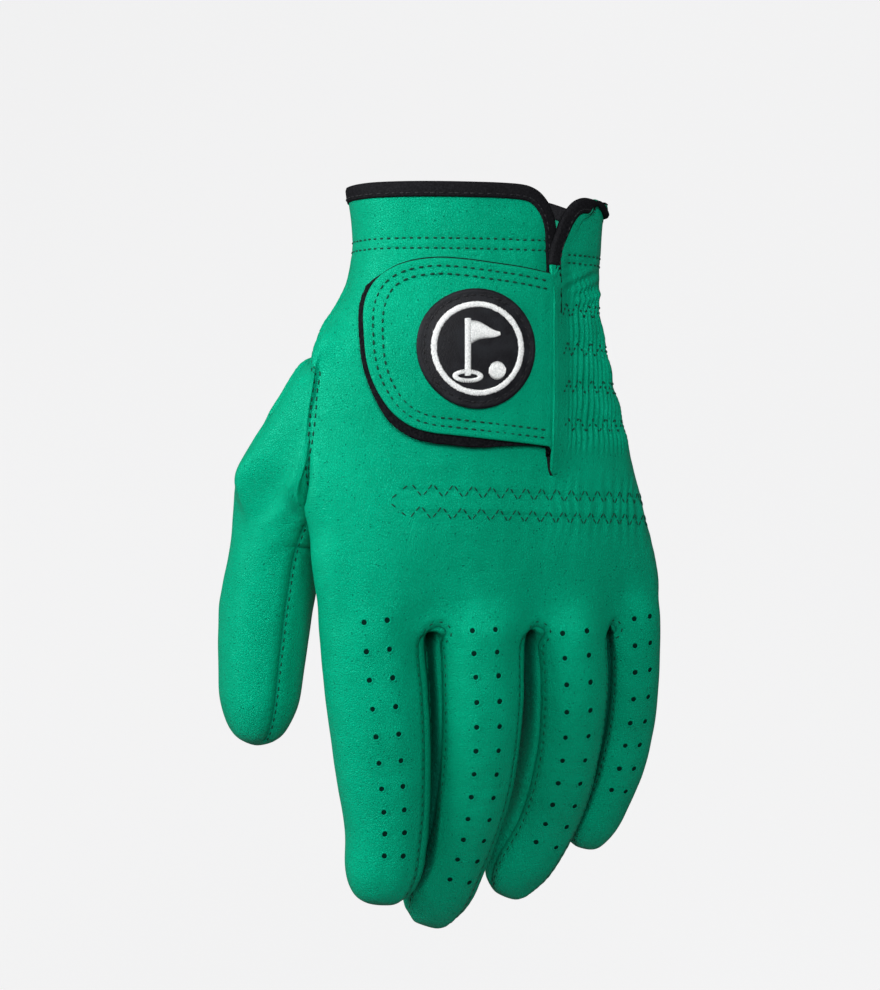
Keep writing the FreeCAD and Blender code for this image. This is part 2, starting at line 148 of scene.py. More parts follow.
def hand_section(z):
    z = max(z, HAND[-1, 0] - 8)
    i = min(max(int(np.sum(HAND[:, 0] >= z)) - 1, 0), len(HAND) - 2)
    t = (i + (z - HAND[i, 0]) / (HAND[i + 1, 0] - HAND[i, 0])) / (len(HAND) - 1)
    x, y, wide, back, palm, roll = smooth(HAND[:, 1:], t)
    across, out = facing_axes(roll)
    return Section(np.array([x, y, z]), across, out, wide, back, palm)


def digit_section(name, t):
    d = DIGITS[name]
    middle = smooth(d["line"], t)
    along = smooth(d["line"], min(t + 0.01, 1)) - smooth(d["line"], max(t - 0.01, 0))
    along /= np.linalg.norm(along)
    out = facing_axes(d["facing"])[1]
    out = out - along * (out @ along)
    out /= np.linalg.norm(out)
    across = np.cross(along, out)
    if across @ facing_axes(d["facing"])[0] < 0:
        across = -across
    ending = (t - ROUND_FROM) / (1.005 - ROUND_FROM)
    close = 1.0 if t <= ROUND_FROM else math.sqrt(max(1 - ending ** 2, 0))
    wide, deep = smooth(d["wide"], t) * close, smooth(d["deep"], t) * close
    fade = float(ease(t, -0.08, 0.07) * ease(t, 1.0, 0.86))
    little_side, thumb_side = FULL.get(name, (0, 0))
    return Section(middle, across, out, wide, deep, deep, (little_side * fade, thumb_side * fade))


def ease(x, a, b):
    """0 at a, 1 at b, smooth between."""
    t = np.clip((x - a) / (b - a), 0, 1)
    return t * t * (3 - 2 * t)


# ---- control cage: one closed hand with open cuff and slit ----------------------------------
AROUND = 40                             # points round the hand in each row of the cage
BACK_COLUMNS = 19                       # of them on the back, from the little-finger side to the thumb side
FINGER_COLUMNS = {"little": (0, 4), "ring": (4, 8), "middle": (8, 13), "index": (13, 18)}
SLIT_COLUMN = 6
ROW_Z = [0.6, -3, -8, -14, -20, -27, -34, -41, -48, -55, -62, -69, -76, -83, -90, -97, -104, -110.5, -117]
THUMB_ROWS = (7, 13)                    # rows of the opening that the thumb grows from
THUMB_COLUMNS = (20, 25)                # and its columns, from the back round to the palm


def column_places(z):
    """How far across the hand each column of the back lies, from 0.94 at the little-finger side to -0.94."""
    s = hand_section(z)
    slit = (SLIT_X - s.middle[0]) / s.wide
    top = np.concatenate([np.linspace(0.94, slit, SLIT_COLUMN + 1),
                          np.linspace(slit, -0.94, BACK_COLUMNS - SLIT_COLUMN)[1:]])
    web = hand_section(WEB_Z)
    edges = [0.95]
    for near, far in (("little", "ring"), ("ring", "middle"), ("middle", "index")):
        a, b = digit_section(near, 0.05), digit_section(far, 0.05)
        x = (a.middle[0] - a.wide + b.middle[0] + b.wide) / 2
        edges.append((x - web.middle[0]) / web.wide)
    edges.append(-0.95)
    low = []
    for (start, end), a, b in zip(FINGER_COLUMNS.values(), edges, edges[1:]):
        low += list(np.linspace(a, b, end - start + 1))[:-1]
    low = np.array(low + [edges[-1]])
    return top + (low - top) * ease(z, -76, -104)


def ring_of_hand(z):
    """The cage's points round the hand at height z, drawn towards the finger roots as z nears the web."""
    s, places = hand_section(z), column_places(z)
    back, palm = [s.at(c, 1) for c in places], [s.at(c, -1) for c in places[::-1]]
    points = np.array([s.point(0)] + back + [s.point(180)] + palm)
    pull = np.interp(-z, [97, 104, 110.5, 117], [0, 0.12, 0.42, 1.0])
    if pull > 0:
        target, share = points.copy(), np.zeros(len(points))
        total = np.zeros_like(points)
        for name in FINGERS:
            root = digit_section(name, 0.0)
            for k, angle in finger_ring(name):
                if k >= 0:
                    total[k] += root.point(angle) + np.array([0, 0, z - root.middle[2]])
                    share[k] += 1
        used = share > 0
        target[used] = total[used] / share[used][:, None]
        target[:, 2] = z
        between = share > 1             # the leather stays taut across the slots
        pulls = np.where(between, pull * 0.55, pull)[:, None]
        points = points + (target - points) * pulls
    return points


def finger_ring(name):
    """The hand ring's points that a finger takes, and their angles; -1 and -2 stand for web middles."""
    first, last = FINGER_COLUMNS[name]
    n = last - first
    back = [(1 + first + k, 30 + 120 * k / n) for k in range(n + 1)]
    palm = [(AROUND - 1 - last + k, 210 + 120 * k / n) for k in range(n + 1)]
    ulnar = (0, 0) if name == "little" else (-1, 0)
    radial = (20, 180) if name == "index" else (-2, 180)
    return [ulnar] + back + [radial] + palm


# how far out the thumb's mound reaches: depths below the cuff, and X there where Y is 0
MOUND = ([30, 40.5, 46, 51.3, 61.3, 72.6, 79.4, 98, 200],
         [-38, -44.7, -48.0, -51.8, -58.9, -66.2, -69.2, -71.0, -99])
# the seam between the hand's back and the thumb's mound: depths below the cuff, and X there
THUMB_SEAM = ([41, 48, 55, 62, 69, 76, 83, 92], [-45.3, -45.8, -46.3, -46.9, -47.3, -47.7, -48.2, -48.0])
SEAM_Y = -5.6                           # how far the leather stands towards the back at that seam
REGIONS = ["hand"] + [f"{d}_{part}" for d in DIGITS for part in ("base", "tip")]
TIP_FROM = {"thumb": 0.65}              # where a digit's tip region starts along it, 0.36 for the fingers


class Cage:
    """Points and quads, each quad with the number of its region."""

    def __init__(self):
        self.points, self.faces, self.regions = [], [], []

    def add(self, point):
        self.points.append(np.array(point, float))
        return len(self.points) - 1

    def quad(self, a, b, c, d, region=0):
        self.faces.append((a, b, c, d))
        self.regions.append(region)

    def loft(self, a, b, region):
        """Quads between two rings of points, in the order that faces them outwards."""
        n = len(a)
        for k in range(n):
            self.quad(a[k], a[(k + 1) % n], b[(k + 1) % n], b[k], region)


# the two rounded corners of the cuff: (row, column) of a cage point, then its x, z and height off the back
LOBES = {
    (0, 7): (13.4, -3.4, -0.2), (0, 8): (10.6, -0.9, 0), (0, 9): (7.4, 0.2, 0), (0, 10): (3.6, 0.5, 0),
    (1, 7): (15.4, -6.9, -0.4), (1, 8): (12.2, -4.6, 0), (1, 9): (8.6, -3.6, 0), (2, 7): (16.4, -10.7, -0.7),
    (2, 8): (12.6, -8.8, 0), (3, 7): (16.8, -15.3, -1.0), (4, 7): (16.6, -20.6, -1.2),
    (0, "edge"): (20.2, -5.0, 0.8), (0, 6): (22.4, -3.1, 1.0), (0, 5): (25.0, -2.3, 1.1),
    (0, 4): (28.0, -2.5, 1.2), (0, 3): (30.6, -3.3, 1.3),
    (0, 2): (32.6, -4.6, 0.9), (0, 1): (34.0, -5.4, 0.3),
    (1, "edge"): (18.4, -7.8, 0.8), (1, 6): (21.4, -6.4, 0.8), (1, 5): (24.8, -5.8, 0.8),
    (1, 4): (28.0, -6.0, 0.8), (2, "edge"): (17.2, -11.2, 0.9), (2, 6): (20.4, -10.2, 0.6),
    (2, 5): (23.8, -9.4, 0.4), (3, "edge"): (15.6, -15.4, 1.2), (3, 6): (18.8, -14.8, 0.5),
    (4, "edge"): (14.6, -20.8, 2.0)}


def on_hand(x, z, out):
    """The place at X and Z, some way out from the hand's back."""
    s = hand_section(z)
    c = float(np.clip((x - s.middle[0]) / s.wide, -0.985, 0.985))
    return s.at(c, 1) + s.back * out


def build_cage():
    cage = Cage()
    rows = [[cage.add(p) for p in ring_of_hand(z)] for z in ROW_Z]
    slit_row = next(r for r, z in enumerate(ROW_Z) if z < SLIT_END)
    right_edge = {r: cage.add(cage.points[rows[r][SLIT_COLUMN + 1]]) for r in range(slit_row)}
    (r0, r1), (c0, c1) = THUMB_ROWS, THUMB_COLUMNS
    for r in range(len(rows) - 1):
        for k in range(AROUND):
            if r0 <= r < r1 and c0 <= k < c1:
                continue
            beside = (k + 1) % AROUND
            a, b, c, d = rows[r][k], rows[r][beside], rows[r + 1][beside], rows[r + 1][k]
            if k == SLIT_COLUMN and r < slit_row:
                b, c = right_edge[r], right_edge.get(r + 1, c)
            cage.quad(a, b, c, d)
    for r in range(slit_row):
        z = ROW_Z[r]                                # the slit's right edge lies over its left one
        cage.points[right_edge[r]] += np.array([-0.4, -3.3, 0]) * ease(z, -76, -67) * ease(z, -9, -19)
        cage.points[rows[r][SLIT_COLUMN]] += np.array([0, -1.5, 0]) * ease(z, -76, -67) * ease(z, -9, -19)
    for (r, k), (x, z, out) in LOBES.items():
        target = cage.points[right_edge[r] if k == "edge" else rows[r][k]]
        target[:] = on_hand(x, z, out)
    for k, drop in ((0, 5.4), (39, 4.4), (38, 3.0), (37, 1.6), (36, 0.6)):   # the cuff dips at this side
        cage.points[rows[0][k]] += np.array([-0.5 if k == 0 else 0.2, 0, -drop])
        cage.points[rows[1][k]][2] -= drop * 0.75
        cage.points[rows[2][k]][2] -= drop * 0.35
    for r, k, out in ((6, 20, 1.9), (6, 21, 1.0), (7, 19, 1.0), (7, 18, 0.4), (7, 21, 2.6)):
        cage.points[rows[r][k]][0] -= out           # the side swells towards the thumb
    for r in range(r0, r1 + 1):                     # the opening's back edge runs along the thumb's seam
        p = cage.points[rows[r][c0]]
        p[:2] = np.interp(-p[2], *THUMB_SEAM), SEAM_Y + 2.4 * (r == r1)
        cage.points[rows[r][c0 - 1]][:2] += np.array([-0.9, -0.2])
    for r in range(len(rows) - 4, len(rows)):       # the slot beside the little finger starts higher up
        for k in list(range(5)) + list(range(AROUND - 4, AROUND)):
            p = cage.points[rows[r][k]]
            p[2] += 3.0 * ease(p[2], -92, -116) * ease(p[0], 27, 38)
    grow_fingers(cage, rows[-1])
    # the thumb's opening, from its lower back corner up and round
    edge = [rows[r][c0] for r in range(r1, r0, -1)] + [rows[r0][k] for k in range(c0, c1)]
    edge += [rows[r][c1] for r in range(r0, r1)] + [rows[r1][k] for k in range(c1, c0, -1)]
    angles = [(k - 3) * 360 / len(edge) for k in range(len(edge))]
    lean = [(0.29, 0.17), (0.34, 0.13), (0.385, 0.09), (0.43, 0.055), (0.475, 0.025)]
    grow_tube(cage, edge, angles, "thumb", lean + [0.53, 0.59, 0.65, 0.71, 0.77, 0.83, 0.885, 0.94, 0.975])
    return cage


def grow_fingers(cage, web_row):
    """The four fingers, which share the middle points of the webs between them."""
    web_middle = {}
    for near, far in (("little", "ring"), ("ring", "middle"), ("middle", "index")):
        a, b = digit_section(near, 0.03).point(180), digit_section(far, 0.03).point(0)
        rise = 3.4 if near == "little" else 0.8
        web_middle[(near, far)] = cage.add((a + b) / 2 * [1, 1, 0] + np.array([0, 0, WEB_Z + rise]))
    for name in FINGERS:
        order = finger_ring(name)
        ring = []
        for k, angle in order:
            if k == -1:
                k_id = next(v for key, v in web_middle.items() if key[1] == name)
            elif k == -2:
                k_id = next(v for key, v in web_middle.items() if key[0] == name)
            else:
                k_id = web_row[k]
            ring.append(k_id)
        first = 0.13 if name == "little" else 0.07
        grow_tube(cage, ring, [angle for _, angle in order], name,
                  [first, 0.19, 0.27, 0.36, 0.45, 0.54, 0.63, 0.72, 0.81, 0.88, 0.94, 0.975])


def shape_mound(p, angle, t):
    """Moves a point of the thumb to make its mound: flush with the hand's back, straight down outside."""
    p[1] -= 9.5 * max(math.cos(math.radians(angle)), 0) ** 1.2 * ease(t, 0.56, 0.27)
    line = np.interp(-p[2], *MOUND) + 0.3 * p[1]
    p[0] = max(p[0], line + 1.2)
    if p[2] > -80:
        p[0] += (line - p[0]) * max(math.sin(math.radians(angle)), 0) ** 3
    seam = np.interp(-p[2], *THUMB_SEAM)
    flush = ease(p[1], 7, -1) * ease(p[2], -92, -80)
    p[0] += min(seam - 1.4 - 7.5 * (t - 0.29) / 0.2 - p[0], 0) * flush
    gap = max(seam - p[0], 0)
    p[1] = max(p[1], SEAM_Y + 0.1 + 0.09 * gap + 0.018 * gap * gap)


def grow_tube(cage, ring, angles, name, stops):
    """Rings along a digit from its root ring to a closed tip. A stop (t, lean) leans on its inner side."""
    for stop in stops:
        t, lean = stop if isinstance(stop, tuple) else (stop, 0.0)
        after = []
        for angle in angles:
            p = digit_section(name, t - lean * math.sin(math.radians(angle))).point(angle)
            if name == "thumb":
                shape_mound(p, angle, t)
            after.append(cage.add(p))
        part = "base" if t <= TIP_FROM.get(name, 0.36) + 1e-6 else "tip"
        region = REGIONS.index(f"{name}_{part}")
        cage.loft(ring, after, region)
        ring = after
    tip = cage.add(smooth(DIGITS[name]["line"], 1.0))
    n = len(ring)
    for k in range(0, n, 2):
        cage.quad(ring[k], ring[(k + 1) % n], ring[(k + 2) % n], tip, region)


def limit_places(points, faces):
    """Where each cage point ends up on the smooth surface."""
    n = len(points)
    face_sum, neighbours = np.zeros((n, 3)), [set() for _ in range(n)]
    edges = {}
    for f in faces:
        for i, v in enumerate(f):
            w = f[(i + 1) % len(f)]
            edge = (min(v, w), max(v, w))
            edges[edge] = edges.get(edge, 0) + 1
            neighbours[v].add(w)
            neighbours[w].add(v)
            face_sum[v] += points[f[(i + 2) % 4]]
    border = {}
    for (v, w), count in edges.items():
        if count == 1:
            border.setdefault(v, []).append(w)
            border.setdefault(w, []).append(v)
    out = np.zeros_like(points)
    for v in range(n):
        near = list(neighbours[v])
        if v in border and len(border[v]) == 2:
            out[v] = (4 * points[v] + points[border[v][0]] + points[border[v][1]]) / 6
        else:
            k = len(near)
            out[v] = (k * k * points[v] + 4 * points[near].sum(0) + face_sum[v]) / (k * (k + 5))
    return out


def smooth_mesh(cage, levels):
    """The cage made smooth, with its points first moved so that the surface passes through them."""
    points, faces = np.array(cage.points), cage.faces
    control = points.copy()
    for _ in range(4):
        control += 0.8 * (points - limit_places(control, faces))
    mesh = bpy.data.meshes.new("cage")
    mesh.from_pydata((control * MM).tolist(), [], faces)
    mesh.polygons.foreach_set("material_index", cage.regions)
    obj = bpy.data.objects.new("cage", mesh)
    bpy.context.scene.collection.objects.link(obj)
    grow = obj.modifiers.new("smooth", "SUBSURF")
    grow.levels = grow.render_levels = levels
    bpy.context.view_layer.update()
    fine = bpy.data.meshes.new_from_object(obj.evaluated_get(bpy.context.evaluated_depsgraph_get()))
    bpy.data.objects.remove(obj)
    return fine


LEVELS = 4
skin = smooth_mesh(build_cage(), LEVELS)


# ---- the smooth skin as arrays ---------------------------------------------------------------
def arrays(mesh):
    """A mesh of quads as its points in millimetres, its quads and their regions."""
    co = np.empty(len(mesh.vertices) * 3)
    mesh.vertices.foreach_get("co", co)
    quads = np.empty(len(mesh.loops), int)
    mesh.loops.foreach_get("vertex_index", quads)
    region = np.empty(len(mesh.polygons), int)
    mesh.polygons.foreach_get("material_index", region)
    return co.reshape(-1, 3) / MM, quads.reshape(-1, 4), region


def vertex_normals(co, quads):
    across = np.cross(co[quads[:, 2]] - co[quads[:, 0]], co[quads[:, 3]] - co[quads[:, 1]])
    out = np.zeros_like(co)
    for k in range(4):
        np.add.at(out, quads[:, k], across)
    return out / np.maximum(np.linalg.norm(out, axis=1), 1e-12)[:, None]


CO, QUADS, REGION = arrays(skin)
NORMAL = vertex_normals(CO, QUADS)
SURFACE = BVHTree.FromPolygons(CO.tolist(), QUADS.tolist())
bpy.data.meshes.remove(skin)


def project(points):
    """Points moved to the nearest place on the skin, and the skin's normals there."""
    found = [SURFACE.find_nearest(Vector(p)) for p in points]
    spots = np.array([f[0] for f in found])
    k = QUADS[[f[2] for f in found]]
    weight = 1 / (np.linalg.norm(CO[k] - spots[:, None], axis=2) + 1e-3)
    normals = np.einsum("ij,ijk->ik", weight, NORMAL[k])
    return spots, normals / np.linalg.norm(normals, axis=1)[:, None]


def resample(points, pitch, closed=False):
    """Evenly spaced points along a line about pitch apart, and how far along each one is."""
    points = np.asarray(points, float)
    if closed:
        points = np.vstack([points, points[:1]])
    reach = np.concatenate([[0], np.cumsum(np.linalg.norm(np.diff(points, axis=0), axis=1))])
    count = max(2, int(round(reach[-1] / pitch)) + 1)
    at = np.linspace(0, reach[-1], count)
    return np.stack([np.interp(at, reach, points[:, k]) for k in range(points.shape[1])], 1), at


class Seam:
    """A line drawn on the skin: points every 0.3 mm, with tangents, normals and the distance run."""

    def __init__(self, points):
        rough, _ = resample(points, 1.2)
        spots, _ = project(rough)
        self.points, self.run = resample(spots, 0.3)
        self.points, self.normals = project(self.points)
        self.tangents = np.gradient(self.points, axis=0)
        self.tangents /= np.linalg.norm(self.tangents, axis=1)[:, None]
        self.sides = np.cross(self.normals, self.tangents)

    def beside(self, offset):
        """The same line moved sideways along the skin."""
        return Seam(self.points + self.sides * offset)


def measure(lines, reach=6.0):
    """Signed distance of each skin vertex to the nearest of some lines, and how far along that line it is."""
    points = np.vstack([line.points for line in lines])
    sides = np.vstack([line.sides for line in lines])
    run = np.concatenate([line.run for line in lines])
    ends = np.concatenate([np.minimum(line.run, line.run[-1] - line.run) for line in lines])
    tree = KDTree(len(points))
    for i, p in enumerate(points):
        tree.insert(p, i)
    tree.balance()
    low, high = points.min(0) - reach, points.max(0) + reach
    distance, along = np.full(len(CO), reach), np.zeros(len(CO))
    for v in np.nonzero(np.all((CO > low) & (CO < high), axis=1))[0]:
        _, i, d = tree.find(CO[v])
        if d < reach:
            distance[v] = math.copysign(d, (CO[v] - points[i]) @ sides[i])
            along[v] = run[i]
            if ends[i] == 0 and d > 0.4:
                distance[v] = math.copysign(max(d, 0.9), distance[v])
    return distance, along


def digit_line(name, angle, start, end):
    """A line along a digit's side, at an angle round its section."""
    return [digit_section(name, start + (end - start) * k / 39).point(angle) for k in range(40)]


def arc_over(a, b, rise, count=9):
    """Points from a to b that bow upwards, as a seam does round the end of a slot."""
    a, b = np.array(a), np.array(b)
    return [a + (b - a) * (1 - math.cos(math.pi * k / (count - 1))) / 2
            + np.array([0, 0, rise * math.sin(math.pi * k / (count - 1))]) for k in range(1, count - 1)]


def slot_on_back(near, far):
    """The seam round a slot's back edges: up one finger, over the slot's end, down its neighbour."""
    down, up = digit_line(far, 159, 0.975, 0.05), digit_line(near, 29.0, 0.05, 0.975)
    middle = (down[-1] + up[0]) / 2
    half = (up[0][0] - down[-1][0]) / 2
    top = -115.6 if near == "little" else -118.4
    arch = []
    for a in np.linspace(0.25, math.pi - 0.25, 7):
        p = on_hand(middle[0] - half * math.cos(a), top + 1.7 * math.sin(a), 0)
        p[1] += (middle[1] - p[1]) * (1 - math.sin(a)) ** 0.8
        arch.append(p)
    return Seam(down + arch + up)


def slot_on_palm(near, far):
    down = digit_line(near, -SEAM_ANGLE, 0.975, 0.015)
    up = digit_line(far, 180 + SEAM_ANGLE, 0.015, 0.975)
    return Seam(down + arc_over(down[-1], up[0], 1.2) + up)


SEAM_ANGLE = 25.0                       # how far round from its side a finger's palm seam lies
crease_lines, finger_rows = [], []
for near, far in zip(FINGERS, FINGERS[1:]):
    for line, offset in ((slot_on_back(near, far), -1.6), (slot_on_palm(near, far), -1.55)):
        crease_lines.append(line)
        finger_rows.append(line.beside(offset))
little_side = Seam([hand_section(z).point(0) for z in np.linspace(-2, -112, 50)]
                   + digit_line("little", 0, 0.02, 0.985))
crease_lines.append(little_side)
thumb_front = Seam(digit_line("thumb", 0, 0.42, 0.985))
thumb_back = Seam(digit_line("thumb", 180, 0.36, 0.985))
crease_lines += [thumb_front, thumb_back]
for name in FINGERS:                       # across each fingertip the forks meet in a short seam
    if name != "little":
        across_tip = digit_section(name, 0.978)
        crease_lines.append(Seam([across_tip.point(a) for a in range(int(SEAM_ANGLE), -26, -10)]))
thumb_base = Seam([(-43.6, -4, -43), (-44.8, -4, -52), (-45.3, -4, -60), (-45.9, -3.5, -68),
                   (-46.6, -3, -76), (-47.4, -2, -83)])
across_thumb = digit_section("thumb", 0.485)
crease_lines.append(Seam([across_thumb.point(a) for a in range(2, -66, -4)]))


def hem(z, start, end, droop):
    """A row round the cuff, lower on the little-finger side."""
    return Seam([hand_section(z - droop * ease(a % 360, 75, 20)).point(a)
                 for a in np.linspace(start, end, 120)])


hem_rows = [hem(-13.6, 64, 336, 0), hem(-16.2, 64, 336, 0), hem(-17.0, -20, 58, 0), hem(-19.2, -20, 58, 0)]


def on_back(points):
    """(x, z) points of the hand's back, laid on the skin."""
    made = []
    for x, z in points:
        s = hand_section(z)
        made.append(s.at(float(np.clip((x - s.middle[0]) / s.wide, -0.98, 0.98)), 1))
    return made


def knuckle_row(middle):
    """The height of a row across the knuckles at X; middle is its height near the row's left end."""
    return lambda x: middle - 0.035 * (x + 24)


def zigzag(start, end, z, high, pitches, first):
    """A zigzag along the back of the hand whose pitch changes from the first to the last of pitches."""
    points, x, k = [], start, first
    while x < end:
        points.append((x, z(x) + (high if k % 2 else -high)))
        x += np.interp(x, [start, end], pitches) / 2
        k += 1
    return points


ZIG_TIP = (-29.9, -82.6)                 # where the two knuckle zigzags meet
UPPER, LOWER = knuckle_row(-79.6), knuckle_row(-85.4)
ZIG_UPPER = [ZIG_TIP] + zigzag(-23.9, 50.5, UPPER, 1.8, (5.9, 3.2), 1)
ZIG_LOWER = [ZIG_TIP] + zigzag(-24.3, 51.5, LOWER, 1.8, (5.9, 3.2), 0)
SHIRR_Z = (-31.6, -42.0, -52.0, -62.2)


def round_side(z, pitches, high):
    """A zigzag from the slit round the little-finger side; its points lie on the section at height z."""
    s = hand_section(z)
    line, reach = resample([s.at((x - s.middle[0]) / s.wide, 1)
                            for x in np.arange(17.0, s.middle[0] + s.wide * 0.9)]
                           + [s.point(a) for a in range(24, -24, -2)], 0.4)
    made, at, k = [], 0.0, 0
    while at < reach[-1]:
        p = line[int(np.searchsorted(reach, at))]
        made.append(p + np.array([0, 0, high if k % 2 else -high]))
        at += np.interp(at, [0, reach[-1]], pitches) / 2
        k += 1
    return made


SHIRR = [round_side(z, (4.8, 3.6), 2.1) for z in SHIRR_Z]

crease, crease_run = measure(crease_lines)
row_a, row_a_run = measure(finger_rows + [thumb_base.beside(0.75), hem_rows[0], hem_rows[2],
                                          Seam(on_back([(x, UPPER(x)) for x in range(-26, 48, 2)]))])
row_b, row_b_run = measure([thumb_base.beside(-0.75), hem_rows[1], hem_rows[3],
                            Seam(on_back([(x, LOWER(x)) for x in range(-26, 49, 2)]))])
shirr_lines = [Seam([p * [1, 1, 0] + np.array([0, 0, z]) for p in line]) for z, line in zip(SHIRR_Z, SHIRR)]
shirr_d, _ = measure(shirr_lines)

# ---- what the leather does: seams pull in, gathers and creases ---------------------------------
RNG = np.random.default_rng(7)
STITCH_BEAT = 2.6                       # the pitch at which stitches dimple the leather
KNUCKLE_Z = -85                         # middle of the knuckle elastic


def waves(points, size, seed):
    """Smooth noise of about -1 to 1 with features of a size in millimetres."""
    count = 28
    rng = np.random.default_rng(seed)
    ways = rng.normal(size=(count, 3))
    ways *= (2 * math.pi / size / np.linalg.norm(ways, axis=1) * rng.uniform(0.6, 1.5, count))[:, None]
    return np.sin(points @ ways.T + rng.uniform(0, 2 * math.pi, count)).sum(1) / math.sqrt(count)


def bell(distance, width):
    return np.exp(-(distance / width) ** 2)


X, Y, Z = CO.T
is_back = NORMAL[:, 1] < 0
lift = 0.16 * waves(CO, 34, seed=2) + 0.05 * waves(CO, 9, seed=3)
lift -= 0.5 * bell(crease, 0.75) - 0.16 * bell(np.abs(crease) - 2.2, 1.5)
pucker = 0.55 + 0.45 * np.cos(crease_run * 2 * math.pi / STITCH_BEAT)
lift -= 0.10 * pucker * bell(np.abs(crease) - 1.5, 0.9)
for d, run in ((row_a, row_a_run), (row_b, row_b_run)):
    beat = 0.5 + 0.5 * np.cos(run * 2 * math.pi / STITCH_BEAT + 2 * waves(CO, 25, seed=8))
    lift -= (0.10 + 0.10 * beat) * bell(d, 0.75)
# the elastic gathers of the wrist's little-finger side
angle_x = np.where(is_back, X, 2 * (hand_section(-45).middle[0] + 40) - X)
gather = ease(angle_x, 19, 25) * ease(Z, -20, -30) * ease(Z, -72, -64) * ease(-Y, -16, -3)
near_row = bell(shirr_d, 3.0)
drift = 0.9 * waves(CO * [0.5, 0.5, 1], 16, seed=4)
fold = np.sin(2 * math.pi * (X * 0.8 + Y * 0.75) / 1.9 + drift * 1.3)
fold = np.sign(fold) * np.abs(fold) ** 0.8 * (0.62 + 0.38 * waves(CO, 11, seed=5))
lift += gather * (0.46 * fold + 0.30 * (1 - near_row) - 0.30 * near_row)
# small gathers of the knuckle elastic, growing towards the little finger
knuckles = bell(Z - KNUCKLE_Z, 7.5) * ease(X, 2, 44) * is_back
lift += knuckles * 0.22 * np.sin(2 * math.pi * X / 3.1 + 1.6 * waves(CO, 14, seed=6))
lift += 0.20 * bell(Z - KNUCKLE_Z, 2.6) * ease(X, -28, -20) * is_back


def ridge(points, start, end, width, height):
    """A soft fold of the leather between two (x, z) places, with a hollow beside it."""
    points = points[:, [0, 2]]
    start, end = np.array(start, float), np.array(end, float)
    way = end - start
    t = np.clip((points - start) @ way / (way @ way), 0, 1)
    gap = np.linalg.norm(points - start - t[:, None] * way, axis=1)
    taper = np.sin(math.pi * np.clip(t, 0.02, 0.98)) ** 0.7
    return height * taper * (bell(gap, width) - 0.5 * bell(gap, width * 1.9))


# wrinkles, as (x, z) ends, width and height: beside the slit, on the thumb, at the cuff and on the back
for start, end, width, height in (
        ((17.5, -25.3), (31, -19.4), 1.5, 1.7), ((20.5, -27.2), (33, -22.0), 1.2, 1.3),
        ((23.5, -29.6), (34, -26.0), 1.0, 1.0), ((17.0, -22.4), (25, -20.8), 1.0, 0.7),
        ((-57, -84), (-49, -74), 2.2, 0.35), ((-58, -90), (-50, -81), 2.0, 0.35),
        ((-56, -77), (-48, -68), 2.4, 0.3), ((-57, -97), (-51, -90), 2.0, 0.3),
        ((-30, -8), (-12, -9.5), 2.4, 0.25), ((-2, -7), (12, -10), 2.0, 0.3),
        ((-20, -72), (6, -74), 3.0, 0.22), ((-41, -28), (-33, -36), 2.2, 0.3)):
    lift += ridge(CO, start, end, width, height) * is_back
for name in FINGERS:                       # shallow creases over and under each middle joint
    t0 = DIGITS[name]["folds"][1]
    for shift, size in ((-0.045, 0.16), (0.0, 0.24), (0.045, 0.16)):
        s = digit_section(name, t0 + shift)
        lift -= size * bell(np.linalg.norm((CO - s.point(90)) * [0.45, 1, 1], axis=1), 2.0)
        s = digit_section(name, t0 + shift * 1.2)
        lift -= 1.6 * size * bell(np.linalg.norm((CO - s.point(270)) * [0.35, 1, 1], axis=1), 2.2)

step, _ = measure([thumb_base])
lift += 0.28 * ease(step, -2.0, -1.4) * ease(step, 5.9, -1.0) * (np.abs(step) < 5.9)
# where the wrist gathers fold inwards; the leather material paints shade there
gather_valley_shade = gather * np.clip(-fold, 0, 1)

shade = np.zeros(len(CO))                  # painted shade: how shut in the leather is by the finger beside it
SLOT_SHADE_GAP = 7.0                            # the gap at which the painted shade between fingers stops
fingers = np.unique(QUADS[(REGION > 0) & (REGION < REGIONS.index("thumb_base"))])
for v in fingers[np.abs(NORMAL[fingers, 0]) > 0.3]:
    hit, _, _, d = SURFACE.ray_cast(Vector(CO[v] + NORMAL[v] * 0.2), Vector(NORMAL[v]), SLOT_SHADE_GAP)
    if hit is not None:
        shade[v] = (1 - d / SLOT_SHADE_GAP) ** 0.6


def edges_of(quads):
    for f in quads:
        for i in range(4):
            a, b = f[i], f[(i + 1) % 4]
            yield min(a, b), max(a, b)


edge_count = {}                            # how many quads share each edge of the hand
for e in edges_of(QUADS[REGION == 0]):
    edge_count[e] = edge_count.get(e, 0) + 1
for e in edges_of(QUADS[REGION != 0]):
    if e in edge_count:
        edge_count[e] += 1
border_edges = [e for e, n in edge_count.items() if n == 1]
SKIN = CO + NORMAL * lift[:, None]
SKIN_NORMAL = vertex_normals(SKIN, QUADS)
SURFACE = BVHTree.FromPolygons(SKIN.tolist(), QUADS.tolist())


# ---- meshes ---------------------------------------------------------------------------------
def add_mesh(name, points, faces, mat, normals=None, slot=None, smooth_faces=True, **values):
    """A mesh object from points in millimetres; values are numbers for its points, by attribute name."""
    mesh = bpy.data.meshes.new(name)
    mesh.from_pydata((np.asarray(points) * MM).tolist(), [], [tuple(map(int, f)) for f in faces])
    for key, data in values.items():
        layer = mesh.attributes.new(key, "FLOAT", "POINT")
        layer.data.foreach_set("value", np.asarray(data, np.float32))
    mesh.materials.append(mat)
    if smooth_faces:
        mesh.shade_smooth()
    if normals is not None:
        mesh.normals_split_custom_set_from_vertices(normals.tolist())
    obj = bpy.data.objects.new(name, mesh)
    bpy.context.scene.collection.objects.link(obj)
    return obj


